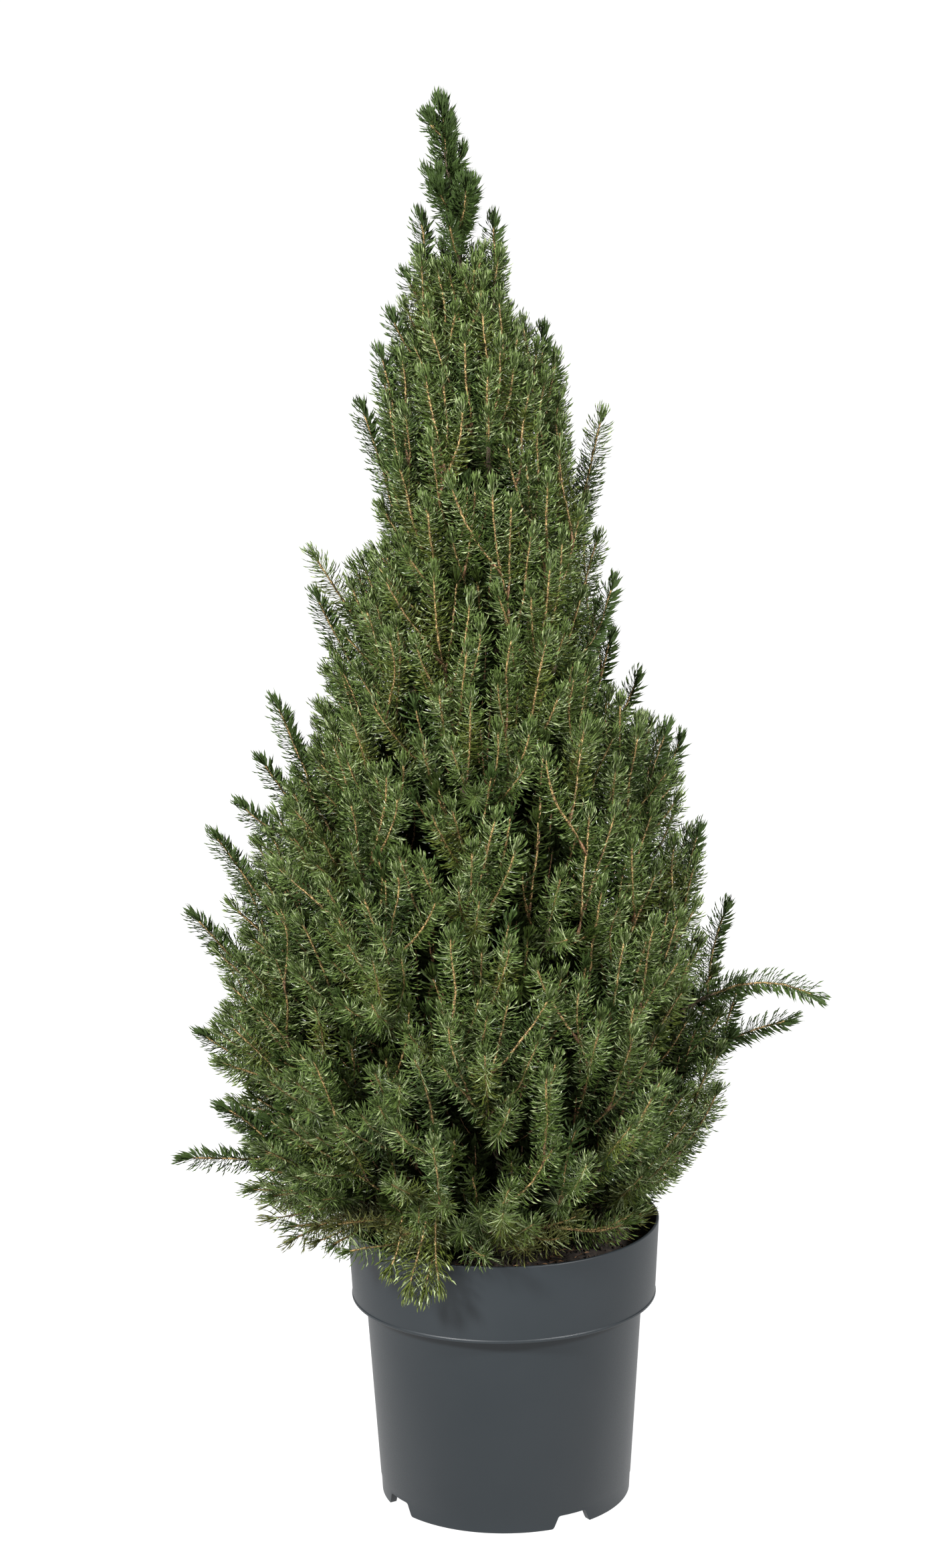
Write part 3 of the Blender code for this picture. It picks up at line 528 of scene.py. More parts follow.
def side_sprays(owner, stem, azimuth, room, chance):
    """Sprays that leave the stem all round it and turn the way that shoots stand there."""
    found = []
    wanted = max(FEWEST_SPRAYS, round(line_length(stem) * SPRAYS_A_METRE))
    low, high = SPRAY_BASES
    for turn in range(wanted * TRIES_A_SPRAY):
        share = low + (high - low) * ((turn * GOLDEN_SHARE) % 1.0)
        base, ahead = stretch(stem, share, share + AHEAD, 1)
        along = (ahead - base).normalized()
        across = along.orthogonal().normalized()
        angle = turn * GOLDEN_ANGLE + chance.uniform(-STRAY_TURN, STRAY_TURN)
        across.rotate(Matrix.Rotation(angle, 3, along))
        length = SPRAY_LENGTH * chance.uniform(*LENGTH_SPREAD)
        if across.z < UNDERSIDE:
            length *= UNDERSIDE_LENGTH
        final = edge_direction(base.z, azimuth)
        leaving = (along * LEAVING_ALONG + across).normalized()
        turned = (final + across * ENDING_ACROSS).normalized()
        radius = spray_radius(base.z) * chance.uniform(*RADIUS_SPREAD)
        while length > SHORTEST_SPRAY:
            line = spray_line(base, leaving, turned, length)
            inside = outside_crown(line[-1]) < CROWN_MARGIN
            if inside and clear_of_pot(line, radius) and room.fits(line[1:], radius, owner):
                room.take(line[1:], radius, owner)
                found.append(Spray(line, radius))
                break
            length *= SHORTENING
        if len(found) >= wanted:
            break
    return found


def stray_plans():
    found = []
    for name, start, slope, tip, direction, share in STRAYS:
        azimuth = math.atan2(tip[1], tip[0])
        way = Vector(direction).normalized()
        found.append(Plan(name, azimuth, trunk_point(start), slope, Vector(tip), way, share))
    return found


def regular_plans(strays):
    """Where each mass's line starts on the trunk and where it ends, from low to high."""
    found = []
    for k, height in enumerate(tip_heights(MASSES)):
        azimuth = FIRST_AZIMUTH + k * GOLDEN_ANGLE
        tip = crown_edge(height, azimuth)
        if min((tip - stray.tip).length for stray in strays) < STRAY_ROOM:
            continue
        rise = max(LEAST_RISE, (tip - trunk_point(height)).length * BOUGH_RISE)
        start = max(LOWEST_BOUGH, height - rise)
        climb = (start - LOWEST_BOUGH) / (TRUNK_TIP - LOWEST_BOUGH)
        slope = LOW_SLOPE + (TOP_SLOPE - LOW_SLOPE) * climb
        share = BOUGH_SHARE if len(found) < MASSES_ON_BOUGHS else 0.0
        name = f"{len(found) + 1:02d}"
        way = edge_direction(height, azimuth)
        found.append(Plan(name, azimuth, trunk_point(start), slope, tip, way, share))
    return found


def too_close(line, others):
    """Whether a line, outside the trunk, comes nearer to another than two boughs may lie."""
    mine = [p for p in line if (p - trunk_point(p.z)).length > trunk_radius(p.z)]
    apart = np.linalg.norm(np.array(mine)[:, None] - np.array(others)[None], axis=2)
    return apart.min() < 2 * BOUGH_RADIUS + LIMB_CLEARANCE


def plans():
    """All the masses from low to high, started higher on the trunk until their lines are clear."""
    strays = stray_plans()
    settled, others = [], [(0.0, 0.0, 0.0)]
    for plan in sorted(regular_plans(strays) + strays, key=lambda plan: plan.tip.z):
        line = stretch(mass_line(plan), 0.0, 1.0, LINE_CHECKS)
        while too_close(line, others):
            plan = plan._replace(start=trunk_point(plan.start.z + START_STEP))
            line = stretch(mass_line(plan), 0.0, 1.0, LINE_CHECKS)
        others += [tuple(point) for point in line]
        settled.append(plan)
    return settled


def grow():
    """The masses of foliage: each with its line from the trunk, its stem and its sprays."""
    room = Room()
    step = (TRUNK_TIP - SOIL_TOP) / TRUNK_CHECKS
    for k in range(TRUNK_CHECKS):
        low = SOIL_TOP + step * k
        room.take([trunk_point(low), trunk_point(low + step)], trunk_radius(low), -1)
    settled = plans()
    lines = [mass_line(plan) for plan in settled]
    for owner, line in enumerate(lines):
        room.take(stretch(line, *CHECKED_LIMB, LIMB_CHECKS), BOUGH_RADIUS, owner)
    leaders = []
    for owner, (plan, line) in enumerate(zip(settled, lines)):
        lead = min(LONGEST_LEAD, SPRAY_LENGTH / line_length(line))
        leader = stretch(line, 1.0 - lead, 1.0, SPRAY_STEPS)
        radius = spray_radius(plan.tip.z)
        while not clear_of_pot(leader, radius):
            radius *= SLIMMING
        room.take(leader, radius, owner)
        leaders.append(Spray(leader, radius))
    masses = []
    for owner, (plan, line) in enumerate(zip(settled, lines)):
        chance = random.Random(owner + 1)
        end = 1.0 - STEM_END * SPRAY_LENGTH / line_length(line)
        stem = stretch(line, plan.share, end, STEM_STEPS)
        sprays = [leaders[owner]]
        sprays += side_sprays(owner, stem, plan.azimuth, room, chance)
        masses.append(Mass(plan.name, plan.share, line, stem, sprays))
    return masses


# ---------------- on to finer shoots


class Crown:
    """Places on limbs from which finer shoots may grow, the shoots' middle lines, and the shoots."""

    def __init__(self):
        self.places = np.zeros((0, 3))
        self.axes = np.zeros((0, 3))
        self.shoots = []

    def add_limb(self, line):
        count = max(2, math.ceil(line_length(line) / AXIS_STEP))
        self.places = np.vstack([self.places, np.array(stretch(line, 0.0, 1.0, count))])

    def add_shoot(self, line, start, kind, length):
        """A shoot's own line fills room from this share on, and its lower part bears twigs."""
        count = max(2, math.ceil(line_length(line) * (1.0 - start) / AXIS_STEP))
        self.axes = np.vstack([self.axes, np.array(stretch(line, start, 1.0, count))])
        self.add_limb(stretch(line, 0.0, BEARING_SHARE, BEARING_STEPS))
        self.shoots.append(Shoot(line, length, depth_of(line[-1]), kind))

    def room_at(self, point):
        return np.linalg.norm(self.axes - np.array(point), axis=1).min()

    def room_round(self, line, start):
        """The room round a shoot where it has least; its lower part may stand closer to others."""
        own = np.array(stretch(line, start, 1.0, ROOM_CHECKS))
        apart = np.linalg.norm(own[:, None] - self.axes[None], axis=2).min(axis=1)
        return (apart / np.linspace(LOW_ROOM, 1.0, len(own))).min()

    def nearest(self, tip, way, least):
        """The place that a shoot with this tip grows from: near, below it and in line with it."""
        to_tip = np.array(tip)[None] - self.places
        far = np.linalg.norm(to_tip, axis=1)
        ahead = to_tip @ np.array(way) / np.maximum(far, 1e-6)
        cost = far * (1.0 + TURN_COST * (1.0 - ahead))
        cost[(far < least) | (ahead < LEAST_IN_LINE)] = NOWHERE
        best = int(cost.argmin())
        return Vector(self.places[best]) if cost[best] < NOWHERE else None

    def try_shoot(self, tip, way, length, room, least=LEAST_TWIG, kind=None):
        """Grows a shoot to this tip if a limb is in reach and it has room; says whether it has."""
        place = self.nearest(tip, way, least)
        if place is None:
            return False
        line = twig_line(place, tip, way)
        whole = line_length(line)
        length = min(length, whole * NEEDLED_SHARE)
        start = 1.0 - length / whole
        if not clear_of_pot(stretch(line, *CHECKED_TWIG, TWIG_CHECKS), SHOOT_CLEARANCE):
            return False
        if self.room_round(line, start) < room:
            return False
        self.add_shoot(line, start, kind or kind_of(tip), length)
        return True


def twig_line(place, tip, way):
    """A twig from its limb to its shoot's tip, which it reaches in the shoot's own way."""
    span = (tip - place).length
    outer = outward(azimuth_of(tip)) * TWIG_OUTWARD
    leaving = ((tip - place).normalized() + outer).normalized()
    near = place + leaving * span * TWIG_LEAVING_PULL
    far = tip - way * span * TWIG_TIP_PULL
    line = [bezier(place, near, far, tip, k / TWIG_STEPS) for k in range(TWIG_STEPS + 1)]
    middle = TWIG_STEPS / 2
    return [wandered(point, min(k, TWIG_STEPS - k) / middle) for k, point in enumerate(line)]


def wandered(point, share):
    """A point of a twig moved a little off its smooth line, least at the two ends."""
    return point + noise.noise_vector(point * WANDER_SCALE) * WANDER * share


def straighter(points):
    """A line with most of its bend taken out."""
    last = len(points) - 1
    chord = [points[0].lerp(points[-1], k / last) for k in range(last + 1)]
    return [point.lerp(straight, STRAIGHTER) for point, straight in zip(points, chord)]


def azimuth_of(point):
    return math.atan2(point.y, point.x - crown_size(point.z)[0])


def depth_of(point):
    """How far inside the crown's outline a point lies."""
    return max(0.0, -outside_crown(point))


def kind_of(tip):
    """How a shoot is dressed, by where its tip stands."""
    depth = depth_of(tip)
    if depth > min(DEEP_DEPTH, crown_size(tip.z)[1] * DEEP_SHARE):
        return "deep"
    if tip.z < SKIRT_TOP:
        return "skirt"
    if depth > INNER_DEPTH:
        return "inner"
    return "low" if tip.z < LOW_TOP else "crown"


def hollow(point):
    """How deep the crown's surface is hollowed there, as a share of its radius."""
    return HOLLOW_DEPTH * max(0.0, noise.noise(Vector(point) * HOLLOW_SCALE))


def shoot_way(tip, chance):
    """The way a shoot points: as at the crown's edge, and straighter up the deeper it stands."""
    azimuth = azimuth_of(tip)
    radius = max(SLIMMEST_CROWN, crown_size(tip.z)[1])
    inward = UPRIGHT_INSIDE * min(1.0, depth_of(tip) / radius)
    way = edge_direction(tip.z, azimuth).lerp(UP, inward)
    turn = Vector([chance.uniform(-1.0, 1.0) for _ in range(3)]) * math.tan(SHOOT_TURN)
    return (way + turn).normalized()


def outline_shoots(crown, chance):
    """The shoots whose tips stand out at the two sides, and the fillers."""
    rows = [(height, -reach) for height, reach in OUTLINE_LEFT]
    rows += list(OUTLINE_RIGHT)
    for height, across in rows:
        bud = height > BUDS_FROM
        spread = BUD_OFFSET if bud else OUTLINE_OFFSET
        tip = Vector((across, chance.uniform(-spread, spread), height))
        way = edge_direction(height, azimuth_of(tip))
        least, room = (BUD_TWIG, BUD_ROOM) if bud else (LEAST_TWIG, OUTLINE_ROOM)
        crown.try_shoot(tip, way, chance.uniform(*OUTLINE_LENGTHS), room, least, "edge")
    for kind, tip, way in FILLERS:
        least = BUD_TWIG if tip[2] > BUDS_FROM else LEAST_TWIG
        way = Vector(way).normalized()
        crown.try_shoot(Vector(tip), way, FILLER_LENGTH, BUD_ROOM, least, kind)


def layer_shoots(layer, crown, chance):
    """Shoots that fill the room left at one depth of the crown, all round."""
    wanted, outermost, innermost, room, shortest, longest = layer
    heights = tip_heights(HEIGHT_STEPS, LOWEST_SHOOT, HIGHEST_SHOOT)
    made = 0
    for _ in range(wanted * TRIES_A_SHOOT):
        height = chance.choice(heights)
        azimuth = chance.uniform(-math.pi, math.pi)
        share = chance.uniform(outermost, innermost) + hollow(crown_edge(height, azimuth))
        tip = crown_edge(height, azimuth, crown_size(height)[1] * min(DEEPEST, share))
        length = chance.uniform(shortest, longest)
        needed = room * spray_radius(height) / SPRAY_RADIUS
        if crown.room_at(tip) > needed:
            made += crown.try_shoot(tip, shoot_way(tip, chance), length, needed)
        if made == wanted:
            break


def all_shoots(masses):
    """Every shoot of the crown: the solids' own sprays first, then the finer ones between them."""
    crown = Crown()
    for mass in masses:
        crown.add_limb(mass.stem)
        for spray in mass.sprays:
            stray = mass.name in STRAY_DRESS
            line = list(spray.points) if stray else straighter(spray.points)
            kind = STRAY_DRESS.get(mass.name, kind_of(line[-1]))
            crown.add_shoot(line, 0.0, kind, line_length(line))
    foot = SOIL_TOP + BARE_FOOT
    step = (TRUNK_TIP - foot) / TRUNK_CHECKS
    crown.add_limb([trunk_point(foot + step * k) for k in range(TRUNK_CHECKS + 1)])
    chance = random.Random(SHOOT_SEED)
    outline_shoots(crown, chance)
    for layer in LAYERS:
        layer_shoots(layer, crown, chance)
    return crown.shoots


# ---------------- meshes from arrays


class Pile:
    """Corners and triangles gathered for one kind of thing, and made into one piece."""

    def __init__(self, name, material, slot, nodes):
        self.name = name
        self.material = material
        self.slot = slot
        self.nodes = nodes
        self.batches = []

    def add(self, corners, triangles):
        self.batches.append((corners, triangles))

    def make(self, smooth=False):
        corners, triangles, count = [], [], 0
        for spots, faces in self.batches:
            corners.append(spots)
            triangles.append(faces + count)
            count += len(spots)
        spots, faces = np.concatenate(corners), np.concatenate(triangles)
        piece = mesh_piece(self.name, spots, faces, self.material, smooth)
        finish_piece(piece, self.nodes)


def placed(name, data):
    """An object with this mesh, lamp or camera, in the scene."""
    thing = bpy.data.objects.new(name, data)
    bpy.context.scene.collection.objects.link(thing)
    return thing


def mesh_piece(name, corners, triangles, material, smooth=False):
    mesh = bpy.data.meshes.new(name)
    mesh.vertices.add(len(corners))
    mesh.vertices.foreach_set("co", corners.astype(np.float32).ravel())
    mesh.loops.add(triangles.size)
    mesh.loops.foreach_set("vertex_index", triangles.astype(np.int32).ravel())
    mesh.polygons.add(len(triangles))
    mesh.polygons.foreach_set("loop_start", np.arange(0, triangles.size, 3, dtype=np.int32))
    mesh.update(calc_edges=True)
    mesh.validate()
    mesh.materials.append(material)
    if smooth:
        mesh.shade_smooth()
    return placed(name, mesh)


def finish_piece(piece, nodes):
    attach(piece, "root")
    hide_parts(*nodes)


def unit(vectors):
    return vectors / np.maximum(np.linalg.norm(vectors, axis=-1, keepdims=True), 1e-12)


def along_line(points, distances):
    """Points and directions along a line at these distances from its start."""
    spots = np.array(points)
    lengths = np.append(0.0, np.cumsum(np.linalg.norm(np.diff(spots, axis=0), axis=1)))
    ways = unit(np.gradient(spots, axis=0))
    at = np.stack([np.interp(distances, lengths, spots[:, k]) for k in range(3)], axis=1)
    way = np.stack([np.interp(distances, lengths, ways[:, k]) for k in range(3)], axis=1)
    return at, unit(way)


def square_to(ways, wanted):
    """Unit vectors square to some ways and as near as can be to a wanted one."""
    wanted = np.broadcast_to(wanted, ways.shape)
    return unit(wanted - ways * (wanted * ways).sum(axis=1, keepdims=True))


def spokes(ways, wanted, turns):
    """Unit vectors square to some ways, turned round them by these angles from a wanted side."""
    first = square_to(ways, wanted)
    second = np.cross(ways, first)
    return first * np.cos(turns)[:, None] + second * np.sin(turns)[:, None]


def tube(points, radii, sides, facing):
    """A closed tube along points. radii is one row a ring, or one number a ring."""
    spots = np.array(points)
    ways = unit(np.gradient(spots, axis=0))
    first = square_to(ways, facing)
    second = np.cross(ways, first)
    turns = np.arange(sides) * math.tau / sides
    radii = np.asarray(radii)
    if radii.ndim == 1:
        radii = np.repeat(radii[:, None], sides, axis=1)
    rings = spots[:, None] + radii[:, :, None] * (
        np.cos(turns)[None, :, None] * first[:, None] + np.sin(turns)[None, :, None] * second[:, None]
    )
    count = len(spots)
    corners = np.concatenate([rings.reshape(-1, 3), spots[:1], spots[-1:]])
    here = np.arange(sides)
    beside = (here + 1) % sides
    low = (np.arange(count - 1) * sides)[:, None]
    lower = np.stack([low + here, low + beside, low + sides + beside], axis=2)
    upper = np.stack([low + here, low + sides + beside, low + sides + here], axis=2)
    foot, top = count * sides, count * sides + 1
    last = (count - 1) * sides
    start = np.stack([beside, here, np.full(sides, foot)], axis=1)
    end = np.stack([last + here, last + beside, np.full(sides, top)], axis=1)
    return corners, np.concatenate([lower.reshape(-1, 3), upper.reshape(-1, 3), start, end])


# ---------------- needles


def needle_rows(line, start, end, dress, chance):
    """Roots, ways, outer sides, lengths and freshness of the needles along a stretch of stem."""
    body = np.arange(start, end - TUFT_RUN, 1.0 / dress.rate)
    body = body + chance.uniform(-0.5, 0.5, len(body)) / dress.rate
    tufted = end - TUFT_RUN * chance.random(dress.tuft)
    distances = np.concatenate([body, tufted])
    order = np.arange(len(distances))
    turns = order * GOLDEN_ANGLE + chance.normal(0.0, SPOKE_SPREAD, len(distances))
    in_tuft = order >= len(body)
    at, way = along_line(line, distances)
    spoke = spokes(way, np.array(outward(azimuth_of(line[-1])) + UP * OUTER_RISE), turns)
    to_tip, from_base = end - distances, distances - start
    opening = dress.opening + BASE_OPENING * np.exp(-from_base / BASE_RUN)
    opening = opening - (dress.opening - TUFT_OPENING) * np.exp(-to_tip / OPENING_RUN)
    spread = chance.random(len(opening)) ** TUFT_CROWDING
    opening = np.where(in_tuft, TUFT_OPENING * spread, opening)
    opening = opening + chance.normal(0.0, NEEDLE_TURN, len(opening))
    ahead = way * np.cos(opening)[:, None] + spoke * np.sin(opening)[:, None]
    side = spoke * np.cos(opening)[:, None] - way * np.sin(opening)[:, None]
    lengths = dress.length * chance.uniform(*NEEDLE_LENGTHS, len(opening))
    at_base = 1.0 - BASE_SHORTER * np.exp(-from_base / BASE_SHORTER_RUN)
    lengths = lengths * np.where(in_tuft, TUFT_LENGTH, at_base)
    return at, ahead, side, lengths, to_tip < FRESH_RUN


def needle_mesh(roots, ways, sides, lengths, width, chance, fronted=False):
    """Needles as bowed strips of three faces with a slanted tip. The widest ones, deep inside,
    are pointed and have two faces. Fronted ones mostly show their broad side to the front and
    the back, where they stand out of the outline.
    """
    turns = chance.uniform(0.0, math.pi, len(roots))[:, None]
    across = np.cross(ways, sides) * np.cos(turns) + sides * np.sin(turns)
    if fronted:
        loose = chance.normal(0.0, FRONTED_SPREAD, (len(roots), 3))
        across = unit(np.cross(ways, np.array((0.0, 1.0, 0.0)) + loose))
    across = across * width / 2
    bow = sides * (lengths * NEEDLE_BOW)[:, None]
    ways = ways * lengths[:, None]
    if width >= DEEP_NEEDLE_WIDTH:
        knee = roots + ways * NEEDLE_KNEE + bow
        corners = np.stack([roots, knee - across, knee + across, roots + ways], axis=1)
        pattern = WIDE_NEEDLE_FACES
    else:
        places = [roots + ways * t + across * w + bow * b for t, w, b in NEEDLE_CORNERS]
        corners = np.stack(places, axis=1)
        pattern = NEEDLE_FACES
    firsts = np.arange(len(roots)) * corners.shape[1]
    triangles = firsts[:, None, None] + pattern[None]
    return corners.reshape(-1, 3), triangles.reshape(-1, 3)


# ---------------- surfaces


def surface(name, colour, roughness):
    made = bpy.data.materials.new(name)
    made.use_nodes = True
    shader = made.node_tree.nodes["Principled BSDF"]
    shader.inputs["Base Color"].default_value = (*colour, 1.0)
    shader.inputs["Roughness"].default_value = roughness
    return made, made.node_tree, shader


def noise_value(tree, scale, detail=4.0, stretch_z=1.0):
    """A noise pattern fixed to the object, finer with a higher scale."""
    place = tree.nodes.new("ShaderNodeTexCoord")
    sized = tree.nodes.new("ShaderNodeMapping")
    sized.inputs["Scale"].default_value = (scale, scale, scale * stretch_z)
    pattern = tree.nodes.new("ShaderNodeTexNoise")
    pattern.inputs["Scale"].default_value = 1.0
    pattern.inputs["Detail"].default_value = detail
    tree.links.new(place.outputs["Object"], sized.inputs["Vector"])
    tree.links.new(sized.outputs["Vector"], pattern.inputs["Vector"])
    return pattern.outputs["Fac"]


def colours_by(tree, shader, value, stops):
    ramp = tree.nodes.new("ShaderNodeValToRGB")
    while len(ramp.color_ramp.elements) < len(stops):
        ramp.color_ramp.elements.new(0.5)
    for element, (position, colour) in zip(ramp.color_ramp.elements, stops):
        element.position = position
        element.color = (*colour, 1.0)
    tree.links.new(value, ramp.inputs["Fac"])
    tree.links.new(ramp.outputs["Color"], shader.inputs["Base Color"])


def roughness_by(tree, shader, value, low, high):
    spread = tree.nodes.new("ShaderNodeMapRange")
    spread.inputs["To Min"].default_value = low
    spread.inputs["To Max"].default_value = high
    tree.links.new(value, spread.inputs["Value"])
    tree.links.new(spread.outputs["Result"], shader.inputs["Roughness"])


def bump_by(tree, shader, value, strength, distance):
    bump = tree.nodes.new("ShaderNodeBump")
    bump.inputs["Strength"].default_value = strength
    bump.inputs["Distance"].default_value = distance
    tree.links.new(value, bump.inputs["Height"])
    tree.links.new(bump.outputs["Normal"], shader.inputs["Normal"])


PLASTIC_COLOURS = ((0.3, (0.009, 0.013, 0.016)), (0.7, (0.012, 0.016, 0.019)))
PLASTIC_GLOSS = 0.34
COMPOST_COLOURS = ((0.30, (0.008, 0.006, 0.005)), (0.72, (0.042, 0.028, 0.018)))
BARK_COLOURS = (
    (0.30, (0.026, 0.018, 0.011)),
    (0.52, (0.075, 0.050, 0.030)),
    (0.75, (0.140, 0.100, 0.064)),
)
STEM_COLOURS = {
    "stems_young": (
        (0.40, (0.045, 0.025, 0.008)),
        (0.49, (0.210, 0.120, 0.040)),
        (0.62, (0.52, 0.360, 0.150)),
    ),
    "stems_old": (
        (0.40, (0.080, 0.040, 0.018)),
        (0.49, (0.165, 0.085, 0.036)),
        (0.62, (0.270, 0.150, 0.070)),
    ),
}
DEAD_NEEDLE_COLOUR = (0.20, 0.105, 0.045)


def plastic_surface():
    made, tree, shader = surface("pot_plastic", (0.0105, 0.0145, 0.0175), 0.42)
    cloudy = noise_value(tree, 14.0, 3.0)
    colours_by(tree, shader, cloudy, PLASTIC_COLOURS)
    grain = noise_value(tree, 1500.0, 2.0)
    roughness_by(tree, shader, grain, 0.40, 0.54)
    shader.inputs["Specular IOR Level"].default_value = PLASTIC_GLOSS
    bump_by(tree, shader, grain, 0.10, 0.0002)
    return made


def compost_surface():
    made, tree, shader = surface("compost", (0.020, 0.014, 0.010), 0.95)
    mottle = noise_value(tree, 260.0, 6.0)
    colours_by(tree, shader, mottle, COMPOST_COLOURS)
    bump_by(tree, shader, mottle, 0.8, 0.0012)
    return made


def bark_surface():
    made, tree, shader = surface("bark", (0.150, 0.095, 0.055), 0.85)
    streaks = noise_value(tree, 420.0, 5.0, 0.35)
    colours_by(tree, shader, streaks, BARK_COLOURS)
    roughness_by(tree, shader, streaks, 0.75, 0.95)
    bump_by(tree, shader, streaks, 0.7, 0.0006)
    return made


def stem_surface(name):
    made, tree, shader = surface(name, STEM_COLOURS[name][1][1], 0.60)
    scales = noise_value(tree, 1100.0, 3.0)
    colours_by(tree, shader, scales, STEM_COLOURS[name])
    bump_by(tree, shader, scales, 0.5, 0.0004)
    return made


NEEDLE_TINTS = {  # base colours, dealt out by shoot
    "fresh": (0.088, 0.130, 0.034),
    "green": (0.062, 0.096, 0.021),
    "warm": (0.078, 0.100, 0.019),
    "cool": (0.042, 0.070, 0.018),
    # darker, for most shoots inside the crown: painted shade
    "deep": (0.026, 0.040, 0.008),
    # near black, for shoots and old wood deep inside the crown: painted shade
    "inner": (0.010, 0.015, 0.004),
    "olive": (0.104, 0.112, 0.032),
    # partly the needles' pale stomatal undersides, partly painted highlights standing in for glints
    "pale_and_glint": (0.260, 0.310, 0.150),
}
SLEEK = (0.30, 0.26)  # roughness and specular level of needles
DULL = (0.90, 0.04)  # and of those deep inside
PALE_AND_GLINT_SHARE = 0.16  # of the outer needles get the pale tint: partly their real pale undersides, partly painted highlights


# ---------------- trunk, boughs and twigs

BARK_SCALE = 620.0  # bumps a metre round a limb
BARK_STRETCH = 0.45  # and along it this share of them
BARK_NOISE = (0.9, 2.1, 3)  # roughness, step from one layer to the next, layers
TRUNK_RELIEF = 0.00055
BOUGH_RELIEF = 0.00030
TRUNK_STEPS = 60
TRUNK_SUNK = 0.002  # into the compost
TRUNK_SIDES = 40
TRUNK_PITCH = 0.0020
LOBE_HEIGHT = 1.6  # root flare heights over which the lobes fade
LOBE_DEPTH = 0.16  # of the trunk's radius
BOUGH_END = 0.7  # of a mass's line is covered in bark, then its thinner stems carry on
BOUGH_STEPS = 24
BOUGH_SIDES = 8
BOUGH_PITCH = 0.0045
FACING = np.array((0.3, -1.0, 0.11))  # where a tube's first side looks


def relief(spots, amount):
    """How far bark stands out at some points: ridges drawn out along the limb."""
    found = []
    for x, y, z in spots:
        spot = Vector((x, y, z * BARK_STRETCH)) * BARK_SCALE
        found.append(noise.fractal(spot, *BARK_NOISE) * amount)
    return np.array(found)


def bark_tube(points, radii, sides, pitch, amount):
    """A limb with its bark's relief as real shape."""
    count = max(4, round(line_length(points) / pitch))
    spots = np.array(stretch(points, 0.0, 1.0, count))
    given = np.linspace(0.0, 1.0, len(radii))
    wide = np.interp(np.linspace(0.0, 1.0, count + 1), given, radii)
    corners, triangles = tube(spots, wide, sides, FACING)
    ring_spots = corners[: (count + 1) * sides]
    middles = np.repeat(spots, sides, axis=0)
    out = ring_spots - middles
    stands = relief(ring_spots, amount).reshape(-1, 1)
    corners[: (count + 1) * sides] = middles + out * (
        1.0 + stands / np.maximum(np.linalg.norm(out, axis=1, keepdims=True), 1e-5)
    )
    return corners, triangles


def trunk_mesh():
    foot = SOIL_TOP - TRUNK_SUNK
    heights = [foot + (TRUNK_TIP - foot) * k / TRUNK_STEPS for k in range(TRUNK_STEPS + 1)]
    points = [trunk_point(height) for height in heights]
    radii = [trunk_radius(height) for height in heights]
    corners, triangles = bark_tube(points, radii, TRUNK_SIDES, TRUNK_PITCH, TRUNK_RELIEF)
    above = np.clip((corners[:, 2] - SOIL_TOP) / (ROOT_FLARE_HEIGHT * LOBE_HEIGHT), 0.0, 1.0)
    turns = np.arctan2(corners[:, 1], corners[:, 0])
    lobes = 1.0 + LOBE_DEPTH * np.cos(ROOT_LOBES * turns) * (1.0 - above)
    corners[:, 0] *= lobes
    corners[:, 1] *= lobes
    return corners, triangles


def bough_radius(line, share):
    """A bough tapers to its tip, and where it starts it is slimmer than the trunk there."""
    root = min(BOUGH_RADIUS, trunk_radius(line[0].z) * BOUGH_ROOT)
    return root + (STEM_TIP_RADIUS - root) * share


def make_wood(masses, nodes):
    """The trunk and the boughs, and the stems that carry on from them through the foliage."""
    bark = Pile("bark", bark_surface(), "bark", nodes)
    bark.add(*trunk_mesh())
    for mass in masses:
        radii = [bough_radius(mass.line, share) for share in np.linspace(0.0, 1.0, 9)]
        line = stretch(mass.line, 0.0, BOUGH_END, BOUGH_STEPS)
        bark.add(*bark_tube(line, radii, BOUGH_SIDES, BOUGH_PITCH, BOUGH_RELIEF))
    bark.make(smooth=True)


# ---------------- foliage

NEEDLE_SEED = 23
OLIVE_SHARE = 0.7  # of the skirt's shoots
SHADED_SHARE = 0.65  # of the inner shoots
USUAL_TINTS = ("green", "warm", "cool", "green")
OUTER_KINDS = ("crown", "low", "skirt", "rim")  # those whose needles get the pale tint, partly their pale undersides and partly painted highlights
FRESH_KINDS = ("crown", "low")
BUDDING_KINDS = ("crown", "low", "edge", "stray")
YOUNG_DEPTH = 0.03  # shoots deeper inside the crown than this have old stems
TWIG_RADII = (0.0013, 0.0010)
SHOOT_RADII = (0.00076, 0.00050)
STEM_TUBES = {  # sides, and how far apart their rings are
    "twig": (3, 0.020),
    "stems_old": (3, 0.012),
    "stems_young": (4, 0.0042),
}
STEM_ROUGHNESS = 0.40  # of a stem's radius is the most that needle bases stand out by
STEM_POINT = 0.35  # of its radius at its very end
STEM_FACING = np.array((0.31, -0.9, 0.13))
BUD_FACING = np.array((0.3, -0.9, 0.1))
BUD_NEEDLE_FACING = np.array((0.2, -0.5, 0.8))
LEAST_OLD_WOOD = 0.004  # a twig gets a stem of its own from this length on
STEM_OVERLAP = 0.001
NEEDLED_TWIG = 0.02  # and needles from this length on
BARE_TWIG = 0.45  # of it stays bare at its start
NEEDLED_STEM = 0.8  # how far along a mass's line its stem bears needles
NEEDLED_STEM_STEPS = 12


def tint_for(shoot, chance):
    if shoot.kind == "skirt" and chance.random() < OLIVE_SHARE:
        return "olive"
    # shoots deep inside the crown get the near-black inner tint: painted shade
    if shoot.kind == "deep":
        return "inner"
    if shoot.kind == "rim":
        return "warm"
    if shoot.kind in FRONTED:
        return "cool"
    # most inner shoots get the darker deep tint: painted shade
    if shoot.kind == "inner":
        return "deep" if chance.random() < SHADED_SHARE else "cool"
    return USUAL_TINTS[chance.integers(len(USUAL_TINTS))]


